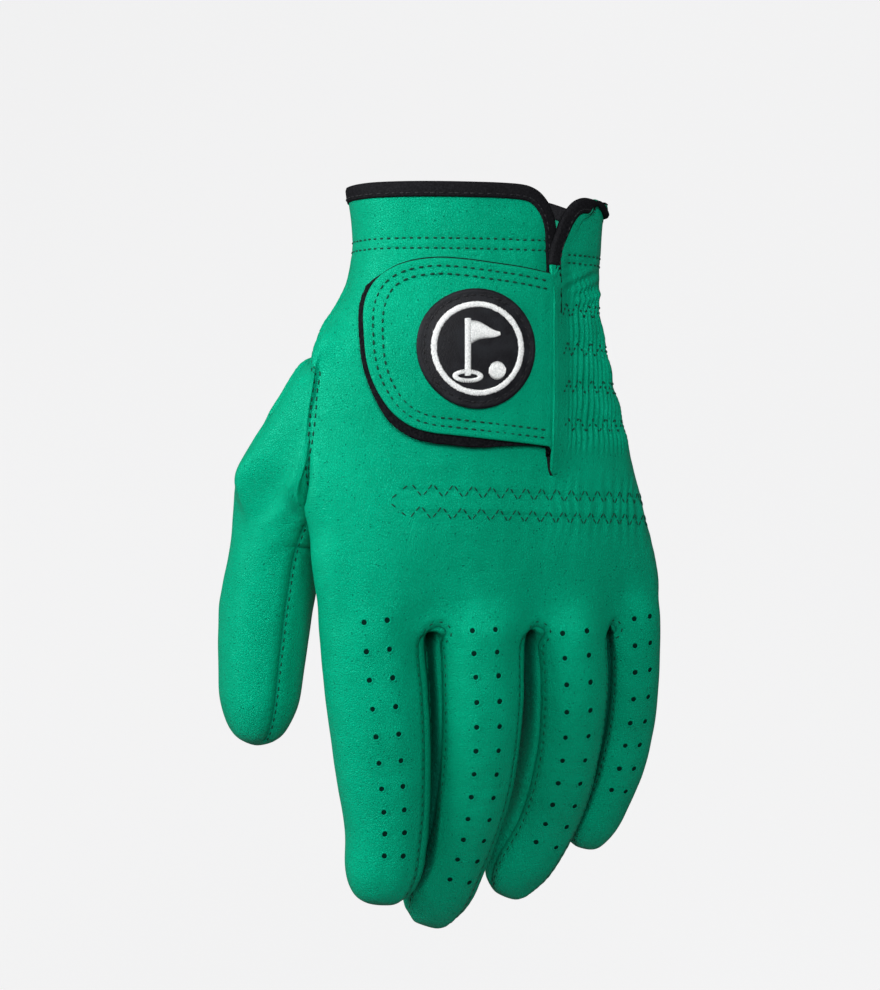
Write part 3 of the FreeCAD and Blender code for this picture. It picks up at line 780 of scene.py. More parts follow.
def region_faces(index):
    """The skin's points that a region uses, and its quads numbered in those points."""
    quads = QUADS[REGION == index]
    used = np.unique(quads)
    renumber = np.full(len(SKIN), -1)
    renumber[used] = np.arange(len(used))
    return used, renumber[quads]


def region_mesh(name, index, mat):
    used, faces = region_faces(index)
    # crease, row_a, row_b, gather and shade tell the leather material where to paint shade
    return add_mesh(name, SKIN[used], faces, mat, SKIN_NORMAL[used], "green_leather",
                    crease=crease[used], row_a=row_a[used], row_b=row_b[used], gather=gather_valley_shade[used],
                    shade=shade[used])


# ---- materials ------------------------------------------------------------------------------
class Nodes:
    """A material's node tree with short ways to add nodes and join them."""

    def __init__(self, name):
        self.material = bpy.data.materials.new(name)
        self.material.use_nodes = True
        self.tree = self.material.node_tree
        self.shader = self.tree.nodes["Principled BSDF"]
        self.coords = self.tree.nodes.new("ShaderNodeTexCoord").outputs["Object"]

    def put(self, socket, value):
        if isinstance(value, bpy.types.NodeSocket):
            self.tree.links.new(value, socket)
        else:
            socket.default_value = value

    def node(self, kind, inputs=(), **settings):
        made = self.tree.nodes.new(kind)
        for key, value in settings.items():
            setattr(made, key, value)
        for key, value in dict(inputs).items():
            self.put(made.inputs[key], value)
        return made

    def math(self, operation, a, b=0.0):
        made = self.node("ShaderNodeMath", {0: a, 1: b}, operation=operation)
        return made.outputs[0]

    def attribute(self, name):
        return self.node("ShaderNodeAttribute", attribute_name=name).outputs["Fac"]

    def noise(self, size_mm, detail, rough):
        made = self.node("ShaderNodeTexNoise", {"Vector": self.coords, "Scale": 1 / (size_mm * MM),
                                                "Detail": detail, "Roughness": rough})
        return made.outputs["Fac"]

    def cells(self, size_mm, feature="DISTANCE_TO_EDGE"):
        made = self.node("ShaderNodeTexVoronoi", {"Vector": self.coords, "Scale": 1 / (size_mm * MM)},
                         feature=feature)
        return made.outputs["Distance"]

    def ramp(self, value, low, high, a=0.0, b=1.0):
        made = self.node("ShaderNodeMapRange", {"Value": value, "From Min": low, "From Max": high,
                                                "To Min": a, "To Max": b}, interpolation_type="SMOOTHSTEP")
        return made.outputs[0]

    def mix(self, factor, a, b):
        made = self.node("ShaderNodeMix", data_type="RGBA")
        self.put(made.inputs[0], factor)
        self.put(made.inputs[6], (*a, 1) if isinstance(a, tuple) else a)
        self.put(made.inputs[7], (*b, 1) if isinstance(b, tuple) else b)
        return made.outputs[2]

    def bump(self, height, millimetres, strength, under=None):
        made = self.node("ShaderNodeBump", {"Height": height, "Distance": millimetres * MM,
                                            "Strength": strength})
        if under:
            self.put(made.inputs["Normal"], under)
        return made.outputs[0]

    def finish(self, color, rough, normal=None, **fixed):
        self.put(self.shader.inputs["Base Color"], color)
        self.put(self.shader.inputs["Roughness"], rough)
        if normal:
            self.put(self.shader.inputs["Normal"], normal)
        for key, value in fixed.items():
            self.shader.inputs[key.replace("_", " ")].default_value = value
        return self.material


GREEN, GREEN_DARK, GREEN_LIGHT = (0.0, 0.315, 0.168), (0.0, 0.205, 0.105), (0.0, 0.40, 0.225)
NEARLY_BLACK = (0.0, 0.05, 0.03)        # pores, and the painted dark line at the bottoms of seams


def leather_material(name, seams=True):
    """Dyed, grained leather; with seams it gets painted shade along the seams and stitch rows, in the valleys of
    gathers and where fingers shut it in.
    """
    n = Nodes(name)
    broad = n.noise(26, 3, 0.55)
    mottle = n.noise(5.5, 4, 0.6)
    grain = n.cells(0.62)
    fine = n.cells(0.34)
    pores = n.ramp(n.cells(1.35, "F1"), 0.10, 0.19, 1.0, 0.0)
    pores = n.math("MULTIPLY", pores, n.ramp(n.noise(3, 2, 0.5), 0.38, 0.56))
    color = n.mix(n.ramp(broad, 0.3, 0.7, 0.25, 0.75), GREEN_DARK, GREEN_LIGHT)
    color = n.mix(0.55, color, GREEN)
    color = n.mix(n.ramp(mottle, 0.35, 0.75, 0.0, 0.22), color, GREEN_DARK)
    color = n.mix(n.ramp(grain, 0.0, 0.14, 0.42, 0.0), color, GREEN_DARK)
    color = n.mix(n.ramp(n.noise(0.5, 2, 0.6), 0.35, 0.65, 0.28, 0.0), color, GREEN_DARK)
    color = n.mix(n.math("MULTIPLY", pores, 0.6), color, NEARLY_BLACK)
    height = n.math("ADD", n.math("MULTIPLY", n.ramp(grain, 0.0, 0.18), 0.6), n.math("MULTIPLY", fine, 0.5))
    height = n.math("SUBTRACT", height, n.math("MULTIPLY", pores, 0.7))
    soft = n.bump(n.noise(2.4, 3, 0.6), 0.30, 0.6)
    if seams:
        # painted shade along each seam's groove, with a painted dark line at its bottom
        crease = n.attribute("crease")
        depth = n.math("ABSOLUTE", crease)
        line = n.ramp(depth, 0.05, 0.42, 1.0, 0.0)
        shade = n.ramp(depth, 0.2, 1.7, 0.40, 0.0)
        color = n.mix(shade, color, GREEN_DARK)
        color = n.mix(n.math("MULTIPLY", line, 0.6), color, NEARLY_BLACK)
        # painted shade in the groove along each stitch row
        for row in ("row_a", "row_b"):
            near = n.ramp(n.math("ABSOLUTE", n.attribute(row)), 0.15, 0.8, 1.0, 0.0)
            color = n.mix(n.math("MULTIPLY", near, 0.20), color, GREEN_DARK)
        # painted shade where a finger beside it shuts the leather in
        color = n.mix(n.ramp(n.attribute("shade"), 0.1, 0.9, 0.0, 0.88), color, (0.0, 0.03, 0.018))
        # painted shade in the valleys of the wrist gathers
        valley_shade = n.ramp(n.attribute("gather"), 0.2, 0.9, 0.0, 0.65)
        color = n.mix(valley_shade, color, (0.0, 0.09, 0.045))
    normal = n.bump(height, 0.17, 0.9, soft)
    rough = n.ramp(mottle, 0.3, 0.8, 0.38, 0.50)
    rough = n.math("ADD", rough, n.math("MULTIPLY", pores, 0.2))
    return n.finish(color, rough, normal, Specular_IOR_Level=0.34, Specular_Tint=(0.06, 1.0, 0.74, 1))


def thread_material(name, color, dark, rough=0.6):
    n = Nodes(name)
    strand = n.noise(0.35, 2, 0.5)
    shade = n.mix(n.ramp(strand, 0.3, 0.7), dark, color)
    return n.finish(shade, rough, n.bump(strand, 0.05, 0.6), Specular_IOR_Level=0.15, Sheen_Weight=0.02)


def cloth_material(name, color, light, weave, rough, bump):
    n = Nodes(name)
    fibre = n.noise(weave, 3, 0.7)
    fluff = n.cells(weave * 1.4, "F1")
    shade = n.mix(n.ramp(fibre, 0.35, 0.75), color, light)
    height = n.math("ADD", fibre, n.math("MULTIPLY", fluff, 0.8))
    return n.finish(shade, rough, n.bump(height, bump, 0.8), Specular_IOR_Level=0.06)


def black_leather_material(name):
    n = Nodes(name)
    grain = n.cells(0.7)
    mottle = n.noise(4, 3, 0.6)
    shade = n.mix(n.ramp(mottle, 0.35, 0.7), (0.005, 0.005, 0.007), (0.011, 0.012, 0.015))
    normal = n.bump(n.ramp(grain, 0.0, 0.2), 0.05, 0.6)
    return n.finish(shade, n.ramp(mottle, 0.3, 0.7, 0.42, 0.55), normal, Specular_IOR_Level=0.14)


LEATHER = leather_material("green_leather")
LEATHER_PLAIN = leather_material("green_leather_plain", seams=False)
FLESH = cloth_material("leather_flesh_side", (0.004, 0.15, 0.085), (0.01, 0.24, 0.14), 0.6, 0.9, 0.08)
BINDING = cloth_material("black_binding", (0.004, 0.004, 0.005), (0.012, 0.012, 0.014), 0.45, 0.75, 0.07)
FUZZ = cloth_material("hook_and_loop", (0.003, 0.003, 0.004), (0.011, 0.011, 0.013), 0.6, 0.95, 0.3)
BLACK = black_leather_material("black_leather")
THREAD = thread_material("green_thread", (0.0, 0.060, 0.034), (0.0, 0.020, 0.012))
THREAD_BLACK = thread_material("black_thread", (0.018, 0.019, 0.021), (0.003, 0.003, 0.004), 0.5)
WHITE = thread_material("white_embroidery", (0.84, 0.85, 0.84), (0.55, 0.57, 0.57), 0.55)
# a near-black disc of painted shadow for the inside of each air hole
HOLE_SHADOW = cloth_material("hole_shadow", (0.0, 0.010, 0.007), (0.0, 0.022, 0.014), 0.5, 0.95, 0.02)

# ---- the leather, one piece for each body ------------------------------------------------------
pieces = {}
for index, region in enumerate(REGIONS):
    pieces[region] = region_mesh(f"leather_{region}", index, LEATHER)


def named(*starts):
    return [n for n in nodes if n.startswith(starts) and not n.endswith("stitching")]


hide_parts("back_panel", "palm_panel", "index_side_panel", "thumb_base_outer",
            "thumb_base_inner")
for d in DIGITS:
    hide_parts(*named(f"{d}_proximal"))
    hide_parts(*named(f"{d}_distal"))


def fit_to_body(obj, part):
    """Hands the hand's piece to the hand_shell body; any other piece only has its transform baked into its
    points.
    """
    if part == "hand":
        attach(obj, "hand_shell")
        return obj
    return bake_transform(obj)


for region, obj in pieces.items():
    fit_to_body(obj, region)

# ---- inside of the hand -------------------------------------------------------------------------
LEATHER_THICK = 1.1
used, faces = region_faces(0)
inside = add_mesh("leather_inside", SKIN[used] - SKIN_NORMAL[used] * LEATHER_THICK, faces[:, ::-1], FLESH,
                  None, "green_leather")
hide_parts("wrist_elastics", "knuckle_elastic")
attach(inside, "hand_shell")


# ---- open edges: black binding at the cuff and slit, a folded leather edge on the right ----------
def walk(edges):
    """The border edges as ordered loops of vertices."""
    near = {}
    for a, b in edges:
        near.setdefault(a, []).append(b)
        near.setdefault(b, []).append(a)
    loops = []
    while near:
        start = next(iter(near))
        loop, here = [], start
        while here in near:
            options = near.pop(here)
            loop.append(here)
            ahead = [v for v in options if v in near]
            here = ahead[0] if ahead else None
        loops.append(loop)
    return loops


def sweep(name, path, inward, profile, mat, slot, narrow=None):
    """A strip along a path; profile holds (distance inwards over the skin, height over it) pairs."""
    rings = []
    for k, (p, d) in enumerate(zip(path, inward)):
        ring = []
        size = 1.0 if narrow is None else narrow[k]
        for reach, height in profile:
            reach = reach * size if reach > 0 else reach
            base, normal = project([p + d * max(reach, 0)])
            out = base[0] - d * max(-reach, 0) + normal[0] * height
            ring.append(out)
        rings.append(ring)
    rings = np.array(rings)
    for _ in range(2):
        rings[1:-1] = 0.25 * rings[:-2] + 0.5 * rings[1:-1] + 0.25 * rings[2:]
    m, n = rings.shape[:2]
    points = rings.reshape(-1, 3)
    faces = [(i * n + j, i * n + (j + 1) % n, (i + 1) * n + (j + 1) % n, (i + 1) * n + j)
             for i in range(m - 1) for j in range(n)]
    faces += [tuple(range(n))[::-1], tuple((m - 1) * n + j for j in range(n))]
    return add_mesh(name, points, faces, mat, None, slot)


border = max(walk(border_edges), key=len)
loop = SKIN[border]
low = int(np.argmin(loop[:, 2]))               # start the walk at the bottom of the slit
loop = np.roll(loop, -low, axis=0)
if loop[len(loop) // 8, 1] < loop[-len(loop) // 8, 1]:
    loop = loop[::-1]
loop, _ = resample(loop, 0.8)
tangent = np.gradient(loop, axis=0)
tangent /= np.linalg.norm(tangent, axis=1)[:, None]
spots, loop_normal = project(loop)
inward = np.cross(loop_normal, tangent)
test, _ = project(loop + inward * 1.5)
if np.mean(np.linalg.norm(test - loop - inward * 1.5, axis=1)) > 0.6:
    inward = -inward
# profiles round the leather's edge, as (distance inwards, height over the leather)
TAPE = [(3.4, 0.05), (3.5, 0.34), (2.9, 0.44), (1.4, 0.46), (0.2, 0.46), (-0.45, 0.20), (-0.62, -0.5),
        (-0.4, -1.2), (0.2, -1.5), (1.6, -1.5), (3.2, -1.45), (3.5, -1.2)]
FOLDED = [(2.4, -0.1), (1.7, 0.03), (0.9, 0.04), (0.3, -0.03), (-0.12, -0.3), (-0.22, -0.75), (0.0, -1.2),
          (1.2, -1.3)]
last_cuff = int(np.nonzero(loop[:, 2] > -21.5)[0][-1])
first_cuff = int(np.nonzero(loop[:, 2] > -22.0)[0][0])
slim = np.where(np.arange(len(loop)) < first_cuff, 0.18 + 0.45 * ease(loop[:, 2], -76, -67), 1.0)
slim = np.convolve(np.pad(slim, 6, "edge"), np.ones(13) / 13, "valid") * ease(loop[:, 2], -77, -74.5)
slim = np.clip(slim, 0.08, 1) - 0.25 * ease(np.arange(len(loop)), last_cuff - 22, last_cuff - 4)
tape = sweep("cuff_tape", loop[:last_cuff], inward[:last_cuff], TAPE, BINDING, "black_binding", slim)
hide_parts("cuff_binding", "slit_binding")
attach(tape, "hand_shell")
slit_fold = sweep("slit_fold", loop[last_cuff - 6:], inward[last_cuff - 6:], FOLDED, LEATHER_PLAIN,
                  "green_leather")
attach(slit_fold, "hand_shell")


# ---- stitches -------------------------------------------------------------------------------------
def tube_faces(start, rings, around):
    """Quads between rings of points, numbered on from start."""
    faces = []
    for r in range(rings - 1):
        for k in range(around):
            a, b = start + r * around + k, start + r * around + (k + 1) % around
            faces.append((a, b, b + around, a + around))
    return faces


def beads(name, places, ways, normals, length, radius, mat, slot, sink=0.0):
    """Short threads, each with rounded ends that dip into what it is sewn to."""
    # (place along the thread, thickness, height) of each ring, in lengths, radii and radii
    stops = [(-0.5, 0.30, -0.55), (-0.36, 0.85, -0.05), (-0.12, 1.0, 0.12), (0.12, 1.0, 0.12),
             (0.36, 0.85, -0.05), (0.5, 0.30, -0.55)]
    around, rings = 6, len(stops)
    points, faces = [], []
    for p, w, n, size in zip(places, ways, normals, np.broadcast_to(length, len(places))):
        side = np.cross(w, n)
        start = len(points)
        for along, thick, up in stops:
            middle = p + w * along * size + n * (up * radius - sink)
            for k in range(around):
                a = 2 * math.pi * k / around
                points.append(middle + (side * math.cos(a) + n * math.sin(a)) * radius * thick)
        faces += tube_faces(start, rings, around)
        faces.append(tuple(start + k for k in range(around))[::-1])
        faces.append(tuple(start + (rings - 1) * around + k for k in range(around)))
    return add_mesh(name, points, faces, mat, None, slot)


def along_line(points, pitch, closed=False):
    """Evenly spaced places along a line, with the line's directions there."""
    fine, reach = resample(points, 0.25, closed)
    ways = np.gradient(fine, axis=0)
    ways /= np.linalg.norm(ways, axis=1)[:, None]
    count = max(1, int(round(reach[-1] / pitch)))
    at = (np.arange(count) + 0.5) * reach[-1] / count
    i = np.clip(np.searchsorted(reach, at), 0, len(fine) - 1)
    return fine[i], ways[i]


def sewn(points, pitch):
    """Stitch places on the skin along a line."""
    places, ways = along_line(points, pitch)
    spots, normals = project(places)
    ways = ways - normals * np.sum(ways * normals, axis=1)[:, None]
    ways /= np.maximum(np.linalg.norm(ways, axis=1), 1e-9)[:, None]
    return spots, ways, normals


def part_of(points):
    """The region of the skin nearest each point."""
    return np.array([REGION[SURFACE.find_nearest(Vector(p))[2]] for p in points])


def stitch_rows(name, rows, length, radius, replaced, sink=0.0):
    """Green stitches along rows, shared out to the bodies whose leather they are sewn through."""
    sets = [sewn(points, pitch) for points, pitch in rows]
    places, ways, normals = (np.concatenate([s[k] for s in sets]) for k in range(3))
    owner = part_of(places)
    for index in np.unique(owner):
        mine = owner == index
        obj = beads(f"{name}_{REGIONS[index]}", places[mine], ways[mine], normals[mine], length, radius,
                    THREAD, "green_thread", sink)
        names = [n for n in replaced(REGIONS[index]) if n in nodes]
        if names:
            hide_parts(*names)
        fit_to_body(obj, REGIONS[index])


def seam_node(region):
    """The CAD node of a region's seam stitches."""
    if region == "hand":
        return []
    d, end = region.rsplit("_", 1)
    return [f"{d}_{'proximal' if end == 'base' else 'distal'}_stitching"]


rows = [(line.points, 2.55) for line in finger_rows]
rows += [(thumb_front.beside(0.7).points, 2.2), (thumb_back.beside(-0.9).points, 2.4)]
rows += [(little_side.beside(-1.5).points[40:], 2.55)]
stitch_rows("seam_stitches", rows, 1.35, 0.21, seam_node, 0.08)
stitch_rows("hem_stitches", [(line.points, 2.05) for line in hem_rows], 1.15, 0.26,
            lambda r: ["cuff_stitching"])
stitch_rows("thumb_base_stitches", [(thumb_base.beside(o).points, 2.3) for o in (0.75, -0.75)], 1.5, 0.25,
            lambda r: ["thumb_seam_stitching"] if r == "hand" else [])


def zig_rows(lines, split):
    """Each straight run of some zigzags as its own short row of split stitches."""
    made = []
    for line in lines:
        corners = line if len(line[0]) == 3 else on_back(line)
        for a, b in zip(corners, corners[1:]):
            made.append((np.array([a + (b - a) * t for t in (0.02, 0.35, 0.65, 0.98)]),
                         np.linalg.norm(b - a) * 0.96 / split))
    return made


stitch_rows("knuckle_zigzag", zig_rows([ZIG_UPPER, ZIG_LOWER], 2), 1.6, 0.2,
            lambda r: ["knuckle_stitching"] if r == "hand" else [])
stitch_rows("wrist_zigzag", zig_rows(SHIRR, 3), 0.85, 0.25,
            lambda r: ["shirring_stitching"] if r == "hand" else [])
places, ways = along_line(loop[first_cuff:last_cuff], 2.1)
i = np.array([int(np.argmin(np.linalg.norm(loop[:last_cuff] - p, axis=1))) for p in places])
base, base_normal = project(loop[i] + inward[i] * 2.5)
tape_thread = beads("tape_stitches", base + base_normal * 0.46, tangent[i], base_normal, 1.4, 0.2,
                    THREAD_BLACK, "black_thread")
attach(tape_thread, "hand_shell")

# ---- air holes: a punched rim round a well filled by a dark disc of painted shadow -----------------
# for each finger: how many in a column, where the first and last sit along it, and the columns' places
HOLES = {"index": (10, -0.035, 0.800, (-0.20, 0.24), (-0.08, 0.40)),
         "middle": (12, -0.007, 0.795, (-0.34, 0.17), (-0.12, 0.50)),
         "ring": (10, 0.0, 0.765, (-0.47, 0.17), (-0.34, 0.36)),
         "little": (8, -0.020, 0.715, (-0.36, 0.19), (-0.41, 0.14))}


def hole_places(name):
    """The middles of a finger's air holes, in two columns that close up towards its tip."""
    count, first, last, start, end = HOLES[name]
    made = []
    for k in range(count):
        f = k / (count - 1)
        t = first + (last - first) * f * (1.10 - 0.10 * f)
        for column in (0, 1):
            c = start[column] + (end[column] - start[column]) * f
            made.append(digit_section(name, max(t, 0)).at(c, 1) + np.array([0, 0, 80 * max(-t, 0)]))
    return made


def punched(centers):
    """The raised rims of air holes, and the dark discs of painted shadow in their wells, as points and faces."""
    radius, around, oval = 0.71, 16, 1.06
    profile = [(1.75, -0.02), (1.35, 0.05), (1.08, 0.06), (0.96, -0.02), (0.90, -0.14)]
    turns = [2 * math.pi * k / around for k in range(around)]
    points, faces, well_shadow, well_shadow_faces = [], [], [], []
    spots, normals = project(centers)
    for p, n in zip(spots, normals):
        u = np.cross(n, [0, 0, 1.0])
        u /= np.linalg.norm(u)
        v = np.cross(n, u)
        start = len(points)
        size = radius * RNG.uniform(0.94, 1.06)
        ring = [u * math.cos(a) + v * math.sin(a) * oval for a in turns]
        for reach, height in profile:
            points += [p + q * reach * size + n * (height + 0.06) for q in ring]
        faces += tube_faces(start, len(profile), around)
        start = len(well_shadow)
        well_shadow += [p + q * size + n * 0.045 for q in ring]
        well_shadow_faces.append(tuple(start + k for k in range(around))[::-1])
    return points, faces, well_shadow, well_shadow_faces


for name in FINGERS:
    centers = np.array(hole_places(name))
    owner = part_of(centers)
    for index in np.unique(owner):
        points, faces, well_shadow, well_shadow_faces = punched(centers[owner == index])
        where = f"{REGIONS[index]}_{name}"
        rim = add_mesh(f"hole_rims_{where}", points, faces, LEATHER_PLAIN, None, "green_leather")
        dark = add_mesh(f"hole_well_shadows_{where}", well_shadow, well_shadow_faces, HOLE_SHADOW, None, "green_leather", False)
        fit_to_body(rim, REGIONS[index])
        fit_to_body(dark, REGIONS[index])


# ---- layers on the back of the hand: patches cut to an outline --------------------------------------
GRID_X, GRID_Z = np.arange(-46.0, 34.0, 1.0), np.arange(-6.0, -84.0, -1.0)
BACK_Y = []
for z in GRID_Z:
    s = hand_section(z)
    BACK_Y.append([s.at(float(c), 1)[1] for c in np.clip((GRID_X - s.middle[0]) / s.wide, -0.995, 0.995)])
BACK_Y = np.array(BACK_Y)


def back_y(x, z):
    """How far back the hand's surface is at X and Z, read between the grid's points."""
    i = np.clip((np.asarray(x) - GRID_X[0]), 0, len(GRID_X) - 1.001)
    k = np.clip((GRID_Z[0] - np.asarray(z)), 0, len(GRID_Z) - 1.001)
    i0, k0 = i.astype(int), k.astype(int)
    u, v = i - i0, k - k0
    return ((BACK_Y[k0, i0] * (1 - u) + BACK_Y[k0, i0 + 1] * u) * (1 - v)
            + (BACK_Y[k0 + 1, i0] * (1 - u) + BACK_Y[k0 + 1, i0 + 1] * u) * v)


def raised(flat, height):
    """(x, z) points placed height above the hand's back, and the surface normals there."""
    x, z = np.asarray(flat, float).T
    y = back_y(x, z)
    slope_x = (back_y(x + 1.5, z) - back_y(x - 1.5, z)) / 3
    slope_z = (back_y(x, z + 1.5) - back_y(x, z - 1.5)) / 3
    normal = np.stack([slope_x, -np.ones_like(x), slope_z], 1)
    normal /= np.linalg.norm(normal, axis=1)[:, None]
    return np.stack([x, y, z], 1) + normal * np.asarray(height)[..., None], normal


def rounded(points, pitch=0.6):
    """A closed smooth outline through (x, z) corner points."""
    points = np.asarray(points, float)
    n = len(points)
    fine = []
    for i in range(n):
        p0, p1, p2, p3 = points[i - 1], points[i], points[(i + 1) % n], points[(i + 2) % n]
        for k in range(16):
            f = k / 16
            fine.append(spline(p0, p1, p2, p3, f))
    return resample(fine, pitch, closed=True)[0][:-1]


def inset(outline, distance):
    """The outline moved inwards."""
    way = np.roll(outline, -1, 0) - np.roll(outline, 1, 0)
    way /= np.linalg.norm(way, axis=1)[:, None]
    side = np.stack([-way[:, 1], way[:, 0]], 1)
    area = np.sum(outline[:, 0] * np.roll(outline[:, 1], -1) - outline[:, 1] * np.roll(outline[:, 0], -1))
    return outline + side * (distance if area > 0 else -distance)


def patch(name, outline, bottom, thick, mat, slot, soft, shape=None):
    """A flat piece with rounded edges, laid bottom above the hand's back; shape adds height to its top."""
    step = 0.8                              # spacing of the points inside the outline
    insets = [0.0, soft * 0.25, soft * 0.6, soft * 1.1, soft * 2.0]
    loops = [inset(outline, d) for d in insets]
    count = len(outline)
    edge = loops[-1]
    tree = KDTree(count)
    for i, p in enumerate(outline):
        tree.insert((*p, 0), i)
    tree.balance()
    (x0, z0), (x1, z1) = edge.min(0), edge.max(0)
    gx, gz = np.meshgrid(np.arange(x0, x1, step), np.arange(z0, z1, step))
    grid = np.stack([gx.ravel(), gz.ravel()], 1)
    ax, az, bx, bz = edge[:, 0], edge[:, 1], np.roll(edge[:, 0], -1), np.roll(edge[:, 1], -1)
    crossing = ((az[None] > grid[:, 1:]) != (bz[None] > grid[:, 1:])) & \
        (grid[:, :1] < (bx - ax)[None] * (grid[:, 1:] - az[None]) / (bz - az + 1e-12)[None] + ax[None])
    within = crossing.sum(1) % 2 == 1
    depth = np.array([tree.find((*p, 0))[2] for p in grid])
    grid = grid[within & (depth > insets[-1] + step * 0.45)]
    verts = [tuple(p) for p in edge] + [tuple(p) for p in grid]
    ring = [(i, (i + 1) % count) for i in range(count)]
    out_verts, _, tris, _, _, _ = delaunay_2d_cdt([Vector(p) for p in verts], ring, [], 1, 1e-5)
    core = np.array([tuple(v) for v in out_verts])
    flat = np.vstack(loops[:-1] + [core])
    distance = np.array([tree.find((*p, 0))[2] for p in flat])
    distance[:count] = 0
    profile = thick - soft * (1 - np.sqrt(1 - np.clip(1 - distance / (soft * 1.4), 0, 1) ** 2))
    if shape is not None:
        profile = profile + shape(flat, distance)
    top, _ = raised(flat, bottom + profile)
    low, _ = raised(flat, np.full(len(flat), float(bottom)))
    faces = []
    first = (len(loops) - 1) * count
    for r in range(len(loops) - 1):
        for k in range(count):
            a, b = r * count + k, r * count + (k + 1) % count
            c, d = a + count, b + count
            faces.append((a, b, d, c))
    faces += [tuple(first + v for v in t) for t in tris]
    n = len(flat)
    faces_low = [tuple(n + v for v in reversed(f)) for f in faces]
    skirt = [(k, n + k, n + (k + 1) % count, (k + 1) % count) for k in range(count)]
    points = np.vstack([top, low])
    # row_a and row_b give painted shade along the tab's two stitch rows; no seam, gather or slot shade here
    obj = add_mesh(name, points, faces + faces_low + skirt, mat, None, slot,
                   crease=np.full(len(points), 6.0), row_a=np.concatenate([distance - 2.1, np.full(n, 6.0)]),
                   row_b=np.concatenate([distance - 4.2, np.full(n, 6.0)]), gather=np.zeros(len(points)),
                   shade=np.zeros(len(points)))
    mesh = bmesh.new()
    mesh.from_mesh(obj.data)
    bmesh.ops.recalc_face_normals(mesh, faces=mesh.faces)
    mesh.to_mesh(obj.data)
    mesh.free()
    return obj


# the tab's outline: from its hinge end along the top, round the free end and back
TAB = rounded([(17.0, -22.6), (14.2, -22.4), (6, -21.0), (-2.6, -20.0), (-10, -19.2), (-17.0, -19.0),
               (-23.7, -20.2), (-28.6, -23.0), (-31.6, -27.2), (-33.6, -33.5), (-34.2, -40.5),
               (-33.8, -47.3), (-32.0, -53.4), (-28.4, -59.2), (-23.4, -63.0), (-18.0, -64.6), (-13.0, -65.1), (-4, -66.0),
               (6, -67.0), (14.2, -67.9), (17.0, -68.1)])


def closing(obj):
    """A piece on the tab, which is sewn down at the slit and free past its hinge; its transform is baked into its
    points.
    """
    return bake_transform(obj)


def flat_waves(flat, size, seed):
    """Smooth noise over (x, z) points."""
    return waves(np.stack([flat[:, 0], flat[:, 0] * 0, flat[:, 1]], 1), size, seed)


def tab_shape(flat, distance):
    """Grooves under the tab's two rows of stitches, a soft crown, and its sewn end turned down."""
    grooves = -0.20 * bell(distance - 2.1, 0.55) - 0.20 * bell(distance - 4.2, 0.55)
    broad = 0.16 * flat_waves(flat, 17, seed=21)
    free = ease(flat[:, 0], 12, 4)
    return grooves + 0.35 * ease(distance, 3, 14) * free + broad * free - 1.2 * ease(flat[:, 0], 14.0, 17.0)


loop_patch = patch("loop_patch_cloth", inset(TAB, 1.8), 0.25, 0.5, FUZZ, "hook_and_loop", 0.25)
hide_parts("loop_patch")
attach(loop_patch, "hand_shell")
# the hook tape shows past the leather along the free end and the bottom
show = 0.35 + ease(TAB[:, 0], 2, -8) * ease(TAB[:, 1], -23, -27) * 0.85
grown = TAB + (inset(TAB, -1.0) - TAB) * show[:, None]
grown[:, 1] -= 1.5 * ease(TAB[:, 1], -50, -62) * ease(TAB[:, 0], 12, -4)
hook = patch("hook_tape_cloth", grown, 1.0, 1.0, FUZZ, "hook_and_loop", 0.3,
             shape=lambda flat, d: 0.12 * flat_waves(flat, 1.6, seed=9))
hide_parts("hook_tape")
closing(hook)
tab = patch("tab_cover", TAB, 1.95, 1.1, LEATHER, "green_leather", 0.45, shape=tab_shape)
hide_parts("tab_leather")
closing(tab)
TAB_TOP = 3.05                          # the tab's leather above the hand's back


def top_stitches(name, flat, pitch, height, length, radius, mat, slot, keep=None):
    """Stitches on top of a patch, along a closed line of (x, z) points; keep chooses some of them."""
    places, ways = along_line(np.asarray(flat, float), pitch, closed=True)
    if keep is not None:
        chosen = keep(places)
        places, ways = places[chosen], ways[chosen]
    spots, normals = raised(places, np.full(len(places), height))
    ahead, _ = raised(places + ways * 0.2, np.full(len(places), height))
    ways = ahead - spots
    ways /= np.linalg.norm(ways, axis=1)[:, None]
    return beads(name, spots, ways, normals, length, radius, mat, slot)


for k, distance in enumerate((2.1, 4.2)):
    obj = top_stitches(f"tab_stitches_{k}", inset(TAB, distance), 2.15, TAB_TOP - 0.12 + 0.06 * k, 1.3, 0.25,
                       THREAD, "green_thread", lambda p: p[:, 0] < 12.6)
    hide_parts("tab_stitching")
    closing(obj)

# ---- the badge ---------------------------------------------------------------------------------
BADGE, BADGE_R = np.array([-6.5, -42.5]), 15.7
DISC_TOP = TAB_TOP + 0.35 + 1.0


def circle(radius):
    """An (x, z) circle round the badge's middle."""
    a = np.linspace(0, 2 * math.pi, 120, endpoint=False)
    return BADGE + radius * np.stack([np.cos(a), np.sin(a)], 1)


disc = patch("badge_leather", circle(BADGE_R), TAB_TOP + 0.25, 1.1, BLACK, "black_leather", 0.5,
             shape=lambda flat, d: -0.16 * bell(d - 1.75, 0.45) + 0.1 * ease(d, 2, 6))
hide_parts("badge_disc")
closing(disc)
ring_thread = top_stitches("badge_stitches", circle(13.95), 2.2, DISC_TOP - 0.06, 1.5, 0.2, THREAD_BLACK,
                           "black_thread")
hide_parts("badge_stitching")
closing(ring_thread)


def satin(name, starts, ends, height):
    """Embroidery: threads laid side by side from one edge of a shape to the other."""
    starts, ends = np.asarray(starts, float), np.asarray(ends, float)
    a, normals = raised(starts, np.full(len(starts), height))
    b, _ = raised(ends, np.full(len(ends), height))
    ways = b - a
    lengths = np.linalg.norm(ways, axis=1)
    ways /= lengths[:, None]
    middle = (a + b) / 2 + normals * 0.05
    return beads(name, middle, ways, normals, lengths + 0.2, 0.17, WHITE, "white_embroidery")


